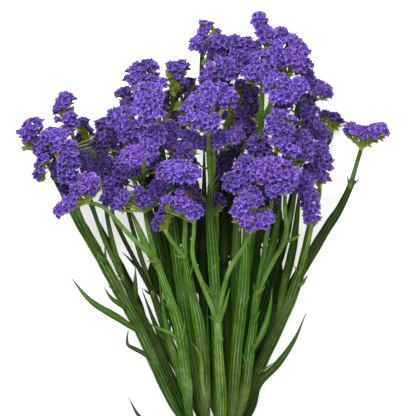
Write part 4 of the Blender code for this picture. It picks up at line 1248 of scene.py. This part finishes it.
def floret_template(rng, ruffle):
    """One papery floret of unit height and width: a slim green foot and a crumpled, folded rim."""
    lobes = [(rng.choice(counts), rng.uniform(*ANY_TURN), share)
             for counts, share in (((2, 3), 0.16), ((4, 5), 0.1))]
    pleats = [rng.uniform(0.4, 1.2) * (1 if k % 2 else -1) for k in range(FLORET_SIDES)]
    shape = blank_shape(HEAD_LAYERS)
    reach = shape.verts.layers.float["reach"]
    ring = start_ring(shape, FLORET_SIDES)
    for number, (radius, height, level, share) in enumerate(FLORET_RINGS):
        if number:
            ring = extruded_ring(shape, ring)
        depth = share * ruffle
        for k, vert in enumerate(ring):
            turn = 2 * math.pi * k / FLORET_SIDES
            lobe = sum(swing * math.sin(count * turn + start) for count, start, swing in lobes)
            far = radius * (1 + depth * (pleats[k] + 4 * lobe))
            rise = depth * (0.32 * pleats[k] + 2.2 * lobe * radius)
            vert.co = (far * math.cos(turn), far * math.sin(turn), height + rise)
            vert[reach] = level + 0.12 * pleats[k] * depth / max(ruffle, 0.01)
        if not number:
            foot = closed(shape, ring)
    for face in closed(shape, ring):
        face.material_index = EYE if rng.random() < EYED_SHARE else VIOLET
    for face in foot:
        face.material_index = CALYX
    return part_mesh(shape)


def rib_template(rng):
    """One green rib of unit height and width, swollen below and drawn to a blushed tip."""
    sections = []
    for radius, height in RIB_RINGS:
        ring = []
        for k in range(RIB_SIDES):
            turn = 2 * math.pi * k / RIB_SIDES
            far = radius * (1 + rng.uniform(-0.1, 0.1))
            ring.append(((far * math.cos(turn), 0.6 * far * math.sin(turn), height),
                         {"reach": height, "tint_and_shade": 0.0}))
        sections.append(ring)
    return tube_mesh(sections)


def spine_of(name, centres):
    """A fine centre line of one comb, with the radius and the run at each of its points."""
    radii = lump_radii(name)
    line = smooth_points(centres, 12 * (len(centres) - 1) + 1)
    sizes = np.interp(np.linspace(0, len(radii) - 1, len(line)), np.arange(len(radii)), radii)
    return line, sizes, run_along(line)


def standing(foot, way, width, length, spin):
    """The matrix that stands a unit template on its foot, pointing this way."""
    turn = Vector((0, 0, 1)).rotation_difference(Vector(way)).to_matrix().to_4x4()
    scale = Matrix.Diagonal((width, width, length, 1.0))
    return Matrix.Translation(Vector(foot)) @ turn @ Matrix.Rotation(spin, 4, "Z") @ scale


def loose_turns(count, rng, offset=0.0):
    """So many turns round an axis, each a little off its even place."""
    for k in range(count):
        yield 2 * math.pi * (k + offset + rng.uniform(-TURN_SLACK, TURN_SLACK)) / count


def comb_spots(name, centres, facing, spacing, rng):
    """The foot, the outward direction and the reach of everything that stands on one comb."""
    line, radii, run = spine_of(name, centres)
    last = len(line) - 1
    spots = []
    stations = max(2, round(run[-1] / spacing) + 1)
    for number, place in enumerate(np.linspace(0, run[-1], stations)):
        point = points_at(place, run, line)
        radius = float(np.interp(place, run, radii))
        ahead = ahead_at(line, min(int(np.searchsorted(run, place)), last))
        up, side = around_axis(ahead, facing)
        around = max(LEAST_AROUND, round(2 * math.pi * radius * AROUND_SHARE / spacing))
        for turn in loose_turns(around, rng, 0.5 * (number % 2)):
            way = up * math.cos(turn) + side * math.sin(turn) + ahead * rng.uniform(-0.22, 0.22)
            spots.append((point, unit(way), radius))
    for end, inner in ((0, 2), (last, last - 2)):
        ahead = unit(line[end] - line[inner])
        up, side = around_axis(ahead, facing)
        radius = float(radii[end])
        spots.append((line[end], unit(ahead + 0.2 * up), radius * END_FLORET_SHARE))
        length = 2 * math.pi * radius * END_AROUND_SHARE * AROUND_SHARE
        for turn in loose_turns(max(LEAST_AROUND, round(length / spacing)), rng):
            way = ahead * 0.85 + up * math.cos(turn) + side * math.sin(turn)
            spots.append((line[end], unit(way), radius * 0.94))
    return spots


def openness(name, lumps):
    """How little of a comb lies under the others, from 0 to 1; its florets take it as painted
    shade.
    """
    own = np.mean(lumps[name], axis=0)
    cover = 0.0
    for centre in (c for other in lumps if other != name for c in lumps[other]):
        above = eased(*SHADING_RISE, centre[2] - own[2])
        cover += above * max(0.0, 1 - float(np.hypot(*(centre - own)[:2])) / SHADING_REACH)
    return math.exp(-cover * SHADING_STRENGTH)


def round_section(point, one, two, sides, corner):
    """A round section of a green part. corner() gives the radius and the tint of the next one."""
    ring = []
    for k in range(sides):
        turn = 2 * math.pi * k / sides
        far, tint_and_shade = corner()
        spot = point + (one * math.cos(turn) + two * math.sin(turn)) * far
        ring.append((Vector(spot), {"reach": GREEN_REACH, "tint_and_shade": tint_and_shade}))
    return ring


def comb_core(name, centres, facing, rng):
    """The green body of a comb, under its florets."""
    line, radii, _ = spine_of(name, centres)
    line, radii = line[::3], radii[::3]
    before = line[0] + unit(line[0] - line[1]) * radii[0] * 0.4
    after = line[-1] + unit(line[-1] - line[-2]) * radii[-1] * 0.4
    line = np.vstack([before, line, after])
    radii = np.concatenate([[radii[0] * 0.5], radii, [radii[-1] * 0.5]])
    sections = []
    for i, (point, radius) in enumerate(zip(line, radii)):
        up, side = around_axis(ahead_at(line, i), facing)
        far = radius * CORE_SHARE * 0.8
        # the core gets a low tint, painted shade inside the comb
        sections.append(round_section(point, up, side, CORE_SIDES, lambda: (
            far * (1 + rng.uniform(-CORE_ROUGHNESS, CORE_ROUGHNESS)), rng.uniform(0.0, 0.4))))
    return tube_mesh(sections)


def round_twig(points, radii, tint_and_shade):
    """A slim round twig through a few points."""
    line = smooth_points(np.array(points), 3 * len(points))
    sizes = np.interp(np.linspace(0, 1, len(line)), np.linspace(0, 1, len(radii)), radii)
    return tube_mesh([round_section(point, *side_of(line, i, UP), TWIG_SIDES,
                                    lambda: (radius, tint_and_shade))
                      for i, (point, radius) in enumerate(zip(line, sizes))])


def neck_stalk(middle, back, reach):
    """The short green neck between a branch and its comb."""
    return tube_mesh([round_section(middle + back * (reach * share), *frame_along(back), NECK_SIDES,
                                    lambda: (radius, 0.4)) for share, radius in NECK_RINGS])


def comb_twigs(name, centres, back, rng):
    """The slim green twigs that fan out from the neck to every part of a comb."""
    start = centres[HEADS[name][1]] + back * neck_reach(name) * 0.92
    made = []
    for centre, radius in zip(centres, lump_radii(name)):
        for _ in range(TWIGS_PER_LUMP):
            aside = jitter(rng, 0.55) * radius
            end = centre + back * radius * 0.3 + aside
            bend = start * 0.5 + end * 0.5 - back * radius * rng.uniform(0.0, 0.12)
            made.append(round_twig([start, bend, end], [1.0, 1.3], rng.uniform(0.1, 0.9)))
    return made


def dress_comb(whole, spots, middle, back, facing, shade, sizes, is_clear, florets, ribs, rng):
    """Stands the ribs and the florets on one comb."""
    width = sizes.floret_width / MM
    for point, way, radius in spots:
        top = point + way * radius * sizes.floret_reach * rng.uniform(0.92, 1.04)
        root = point + back * radius * ROOT_SHARE
        ahead = top - middle
        in_neck = ahead @ back > 0 and np.linalg.norm(np.cross(ahead, back)) < NECK_CLEAR
        if in_neck or not is_clear([top - way * 1.5]):
            continue
        lean = unit(top - root)
        length = float(np.linalg.norm(top - root))
        bare = NECK_SIDE_COSINE + rng.uniform(-0.1, 0.1)
        hidden = way @ facing < FLORET_BACK_COSINE
        if hidden or way @ back > RIB_SIDE_COSINE:
            for _ in range(2 if way @ back > NECK_SIDE_COSINE else 1):
                share = rng.uniform(0.8, 1.0)
                matrix = standing(root, unit(lean + jitter(rng, 0.22)), rng.uniform(2.0, 3.0),
                                  length * share, rng.uniform(*ANY_TURN))
                add_shape(whole, rng.choice(ribs), matrix, rng.uniform(0.1, 1.0), CALYX)
        if hidden or way @ back > bare:
            continue
        lean = unit(lean + jitter(rng, 0.28))
        stand = min(length, rng.uniform(0.9, 1.1) * FLORET_LENGTH)
        matrix = standing(top - lean * stand, lean, width * rng.uniform(0.82, 1.18), stand,
                          rng.uniform(*ANY_TURN))
        # florets of combs under other heads get painted shade, mixed with their own random tint
        add_shape(whole, rng.choice(florets), matrix, 0.62 * shade + 0.38 * rng.random())


class STATICE_OT_blooms(bpy.types.Operator):
    """Makes the heads: green combs with ribs, covered in ruffled papery florets"""

    bl_idname = "statice.blooms"
    bl_label = "Blooms"

    def execute(self, context):
        sizes, skins = context.scene.statice_sizes, head_skins(context.scene.statice_colours)
        chains, lumps = bunch()
        around = Surroundings(chains, lumps)
        necks = {chain.head: chain.points[-1] for chain in chains if chain.head}
        shared = random.Random(SEED)
        florets = [floret_template(shared, sizes.rim_ruffle) for _ in range(FLORET_KINDS)]
        ribs = [rib_template(shared) for _ in range(RIB_KINDS)]
        spacing = sizes.floret_spacing / MM
        for name, centres in lumps.items():
            rng = random.Random(f"head {name}")
            middle = centres[HEADS[name][1]]
            back = unit(necks[name] - middle)
            facing = unit(UP * UPWARD_LEAN - back)
            whole = blank_shape(HEAD_LAYERS)
            for mesh in (comb_core(name, centres, facing, rng),
                         neck_stalk(middle, back, neck_reach(name)),
                         *comb_twigs(name, centres, back, rng)):
                add_shape(whole, mesh, material=CALYX)
            spots = comb_spots(name, centres, facing, spacing, rng)
            dress_comb(whole, spots, middle, back, facing, openness(name, lumps), sizes,
                       functools.partial(around.is_clear, name), florets, ribs, rng)
            finish_piece(f"bloom_{name}", whole, skins, f"head_{name}", rests=True)
        clear_loose_meshes()
        return {"FINISHED"}


def plan_half(chain):
    """Half the width of a stem, branch or leaf at each of its points."""
    if chain.kind != "leaf":
        return chain.room() * 0.9
    share = np.linspace(0, 1, len(chain.points))
    return chain.width / 2 * np.sin(np.pi * share) * (1 - share**3)


def roots_of(chains):
    """The points on the centre lines of stems and branches that a twig or a leaf can grow from."""
    return np.vstack([finer(chain.points) for chain in chains if chain.kind != "leaf"])


def nearest_root(roots, spot, below):
    """The nearest place to grow from, at least this far below a spot."""
    lower = roots[roots[:, 1] < spot[1] - below]
    return lower[np.argmin(np.linalg.norm(lower - spot, axis=1))]


def stem_gaps(chains):
    """The narrow gaps in plan among the middle stems: for each, its sides at every station."""
    points = np.vstack([finer(chain.points) for chain in chains])
    rooms = np.concatenate([finer(plan_half(chain)) for chain in chains])
    places = np.arange(-BLADES_HALF, BLADES_HALF, 0.5)
    tracks = []
    for y in np.arange(BLADES_FROM_Y, BLADES_TO_Y, BLADE_STATION):
        near = np.abs(points[:, 1] - y) < 1.8
        covered = np.zeros(len(places), bool)
        for x, room in zip(points[near, 0], rooms[near]):
            covered |= np.abs(places - x) < room
        edges = [k for k in range(1, len(places)) if covered[k] != covered[k - 1]]
        for start, end in zip(edges, edges[1:]):
            if covered[start]:
                continue
            low, high = places[start], places[end]
            for track in tracks:
                last_y, last_low, last_high = track[-1]
                if last_y == y - BLADE_STATION and low < last_high and high > last_low:
                    track.append((y, low, high))
                    break
            else:
                tracks.append([(y, low, high)])
    return [track for track in tracks if len(track) >= BLADE_LEAST_STATIONS]


def shade_blade(track, roots, rng):
    """A narrow leaf, darkened with painted shade, that grows from the nearest stem and stands
    behind one gap.
    """
    stations = [((low + high) / 2, y, high - low) for y, low, high in track]
    height = rng.uniform(*BLADE_HEIGHTS)
    root = nearest_root(roots, np.array([*stations[0][:2], height]), BLADE_FOOT)
    last_x, last_y, _ = stations[-1]
    stations.append((last_x, last_y + 14, 1.0))
    path = np.array([root] + [(x, y, height) for x, y, _ in stations])
    line = smooth_points(path, 4 * len(path))
    wide = np.interp(np.linspace(0, 1, len(line)), np.linspace(0, 1, len(path)),
                     [1.0] + [station[2] for station in stations])
    # a low tint: painted shade
    tint_and_shade = rng.random() * 0.5
    made = []
    for i, point in enumerate(line):
        half = min(wide[i], BLADE_WIDEST) / 2 + 1.2 * eased(0, 10, min(i, len(line) - 1 - i))
        made.append(section(LEAF_PROFILE, point, *side_of(line, i, UP), half, 0.4, 0.1, i * 0.1,
                            tint_and_shade))
    return made


def shaded_gaps(chains, lumps):
    """The places deep among the heads, all round enclosed by them, that nothing covers."""
    spots = np.vstack(list(lumps.values()))
    radii = np.concatenate([lump_radii(name) for name in lumps])
    lines = np.vstack([finer(chain.points) for chain in chains])
    found = []
    for x in np.arange(spots[:, 0].min(), spots[:, 0].max(), GAP_STEP):
        for y in np.arange(spots[:, 1].min(), spots[:, 1].max(), GAP_STEP):
            apart = spots[:, :2] - (x, y)
            far = np.hypot(apart[:, 0], apart[:, 1])
            to_stems = np.hypot(*(lines[:, :2] - (x, y)).T)
            if np.any(far < radii - 1.0) or np.any(to_stems < GAP_STEM_CLEAR):
                continue
            near = far < GAP_ENCLOSED
            turns = set(np.floor((np.arctan2(apart[near, 1], apart[near, 0]) / math.pi + 1) * 4))
            if turns >= {4.0, 5.0, 6.0, 7.0} and len(turns) >= 7:
                found.append((x, y))
    return found


def add_sprig(whole, spot, roots, florets, ribs, rng):
    """Puts one small sprig, darkened with painted shade, on a twig of its own into the whole."""
    root = nearest_root(roots, spot, 6)
    way = unit(unit(spot - root) + UP * 0.8)
    bend = (root + spot) / 2 + np.array([rng.uniform(-3, 3), 0.0, -2.0])
    bend[2] = max(bend[2], 2.0)
    # the twig, ribs and florets of a sprig get low tints: painted shade deep in the gaps
    twig = round_twig([root, bend, spot], [1.3, 0.8], rng.uniform(0.0, 0.3))
    add_shape(whole, twig, material=CALYX)
    for number in range(rng.choice((4, 5, 6))):
        lean = unit(way + jitter(rng, 0.8))
        spin = rng.uniform(*ANY_TURN)
        matrix = standing(spot - lean * 2.0, lean, rng.uniform(2.2, 2.8), rng.uniform(6.5, 8.5),
                          spin)
        add_shape(whole, rng.choice(ribs), matrix, rng.uniform(0.1, 0.5), CALYX)
        if number % 3:
            matrix = standing(spot - lean, lean, rng.uniform(6.5, 8.0), rng.uniform(8, 10), spin)
            add_shape(whole, rng.choice(florets), matrix, rng.uniform(0.0, 0.35))


class STATICE_OT_sprigs(bpy.types.Operator):
    """Makes the small sprigs and leaves, darkened with painted shade, that fill the deep gaps among
    the heads and stems
    """

    bl_idname = "statice.sprigs"
    bl_label = "Inner sprigs and leaves"

    def execute(self, context):
        chains, lumps = bunch()
        around = Surroundings(chains, lumps)
        roots = roots_of(chains)
        rng = random.Random(SEED + 1)
        ruffle = context.scene.statice_sizes.rim_ruffle
        florets = [floret_template(rng, ruffle) for _ in range(SPRIG_KINDS)]
        ribs = [rib_template(rng) for _ in range(RIB_KINDS)]
        whole = blank_shape(HEAD_LAYERS)
        for x, y in shaded_gaps(chains, lumps):
            spot = np.array([x + rng.uniform(-1.5, 1.5), y + rng.uniform(-1.5, 1.5), 0.0])
            for height in SPRIG_HEIGHTS:
                spot[2] = height
                if around.is_clear("", [spot, spot + (0, 0, 4.0)]):
                    add_sprig(whole, spot, roots, florets, ribs, rng)
                    break
        skins = [bpy.data.materials[name] for name in ("papery_violet", "calyx_green", "eye_cream")]
        finish_piece("inner_sprigs", whole, skins, None, rests=True)
        whole = blank_shape(STEM_LAYERS)
        for track in stem_gaps(chains):
            add_shape(whole, tube_mesh(shade_blade(track, roots, rng), smooth=True))
        finish_piece("inner_leaves", whole, [bpy.data.materials["narrow_leaf"]], None)
        clear_loose_meshes()
        return {"FINISHED"}


class STATICE_OT_band(bpy.types.Operator):
    """Makes the rubber band, wound twice round the stems"""

    bl_idname = "statice.band"
    bl_label = "Band"

    def execute(self, context):
        shape = bmesh.new()
        half = BAND_HALF_WIDTH
        thick = BAND_OUTER - BAND_INNER
        middle = (BAND_INNER + BAND_OUTER) / 2
        for centre in (-half / 2, half / 2):
            ring = start_ring(shape, BAND_SIDES)
            for k, vert in enumerate(ring):
                turn = 2 * math.pi * k / BAND_SIDES
                flat_x, flat_y = (math.copysign(abs(part) ** BAND_SQUARENESS, part)
                                  for part in (math.cos(turn), math.sin(turn)))
                vert.co = (middle + flat_x * thick / 2,
                           centre + flat_y * (half / 2 - BAND_PARTING), 0.0)
            bmesh.ops.spin(shape, geom=ring + ring_edges(ring), cent=(0, 0, 0), axis=(0, 1, 0),
                           dvec=(0, 0, 0), angle=2 * math.pi, steps=BAND_STEPS, use_merge=True,
                           use_duplicate=False)
        bmesh.ops.translate(shape, vec=(0, 0, BAND_HEIGHT), verts=shape.verts)
        bmesh.ops.bisect_plane(shape, geom=[*shape.verts, *shape.edges, *shape.faces],
                               plane_co=(0, 0, 0.0), plane_no=(0, 0, 1), clear_inner=True)
        bmesh.ops.holes_fill(shape, edges=shape.edges, sides=0)
        bmesh.ops.recalc_face_normals(shape, faces=shape.faces)
        for face in shape.faces:
            face.smooth = len(face.verts) == 4
        rubber = context.scene.statice_colours.rubber
        skin = speckled_skin("natural_rubber", (120.0, 4.0),
                             [(0.3, scaled(rubber, 0.72)), (0.7, rubber)], 0.55, 0.35,
                             bump=(0.15, 0.0002), dust=2500.0)
        finish_piece("rubber_band", shape, [skin.material], "band")
        return {"FINISHED"}


def add_area_light(name, place, target, size, power):
    """A square light that shines from a place to a target."""
    data = bpy.data.lights.new(name, "AREA")
    data.shape = "SQUARE"
    data.size = size
    data.energy = power
    light = add_object(name, data)
    light.location = place
    light.rotation_euler = (target - place).to_track_quat("-Z", "Y").to_euler()


class STATICE_OT_stage(bpy.types.Operator):
    """Sets the pale floor, which glows a little as painted light, the soft studio light and the
    camera over the bunch
    """

    bl_idname = "statice.stage"
    bl_label = "Stage"

    def execute(self, context):
        scene = context.scene
        shape = bmesh.new()
        bmesh.ops.create_grid(shape, x_segments=1, y_segments=1, size=FLOOR_HALF)
        floor = add_object("floor", mesh_from(shape, "floor"))
        white = scene.statice_colours.floor_white
        skin = speckled_skin("pale_floor", (8.0,), [(0.3, scaled(white, 0.985)), (0.7, white)],
                             0.9, 0.1)
        # the floor glows: painted light that lightens the bunch's shadows on it
        skin.fill(skin.shader, {"Emission Color": WHITE, "Emission Strength": FLOOR_GLOW})
        floor.data.materials.append(skin.material)

        scene.world = bpy.data.worlds.new("studio")
        scene.world.use_nodes = True
        sky = scene.world.node_tree.nodes["Background"]
        sky.inputs["Color"].default_value = WHITE
        sky.inputs["Strength"].default_value = WORLD_STRENGTH

        middle = Vector((VIEW_X, VIEW_Y, LIT_HEIGHT))
        for name, away, size, power in LIGHTS:
            add_area_light(name, middle + Vector(away), middle, size, power)

        data = bpy.data.cameras.new("camera")
        data.sensor_width = SENSOR
        data.lens = SENSOR * CAMERA_DISTANCE / VIEW_WIDTH
        data.clip_end = 20.0
        scene.camera = add_object("camera", data)
        scene.camera.location = (VIEW_X, VIEW_Y, VIEW_HEIGHT + CAMERA_DISTANCE)
        scene.camera.rotation_euler = (0.0, 0.0, 0.0)
        scene.view_settings.view_transform = "Standard"
        return {"FINISHED"}


class STATICE_PT_panel(bpy.types.Panel):
    """Lists the sizes, the colours and the steps of the statice bunch"""

    bl_idname = "STATICE_PT_panel"
    bl_label = "Statice"
    bl_space_type = "VIEW_3D"
    bl_region_type = "UI"
    bl_category = "Statice"

    def draw(self, context):
        layout = self.layout
        for group in (context.scene.statice_sizes, context.scene.statice_colours):
            column = layout.column()
            for name in group.bl_rna.properties.keys():
                if name not in ("rna_type", "name"):
                    column.prop(group, name)
        for operator in OPERATORS:
            layout.operator(operator.bl_idname)


OPERATORS = (STATICE_OT_stems, STATICE_OT_blooms, STATICE_OT_sprigs, STATICE_OT_band,
             STATICE_OT_stage)
CLASSES = (StaticeSizes, StaticeColours) + OPERATORS + (STATICE_PT_panel,)


def register():
    for cls in CLASSES:
        bpy.utils.register_class(cls)
    bpy.types.Scene.statice_sizes = bpy.props.PointerProperty(type=StaticeSizes)
    bpy.types.Scene.statice_colours = bpy.props.PointerProperty(type=StaticeColours)


def unregister():
    del bpy.types.Scene.statice_colours
    del bpy.types.Scene.statice_sizes
    for cls in reversed(CLASSES):
        bpy.utils.unregister_class(cls)


def main():
    """Makes every piece and the stage."""
    register()
    bpy.ops.statice.stems()
    bpy.ops.statice.blooms()
    bpy.ops.statice.sprigs()
    bpy.ops.statice.band()
    bpy.ops.statice.stage()


if __name__ == "__main__":
    main()
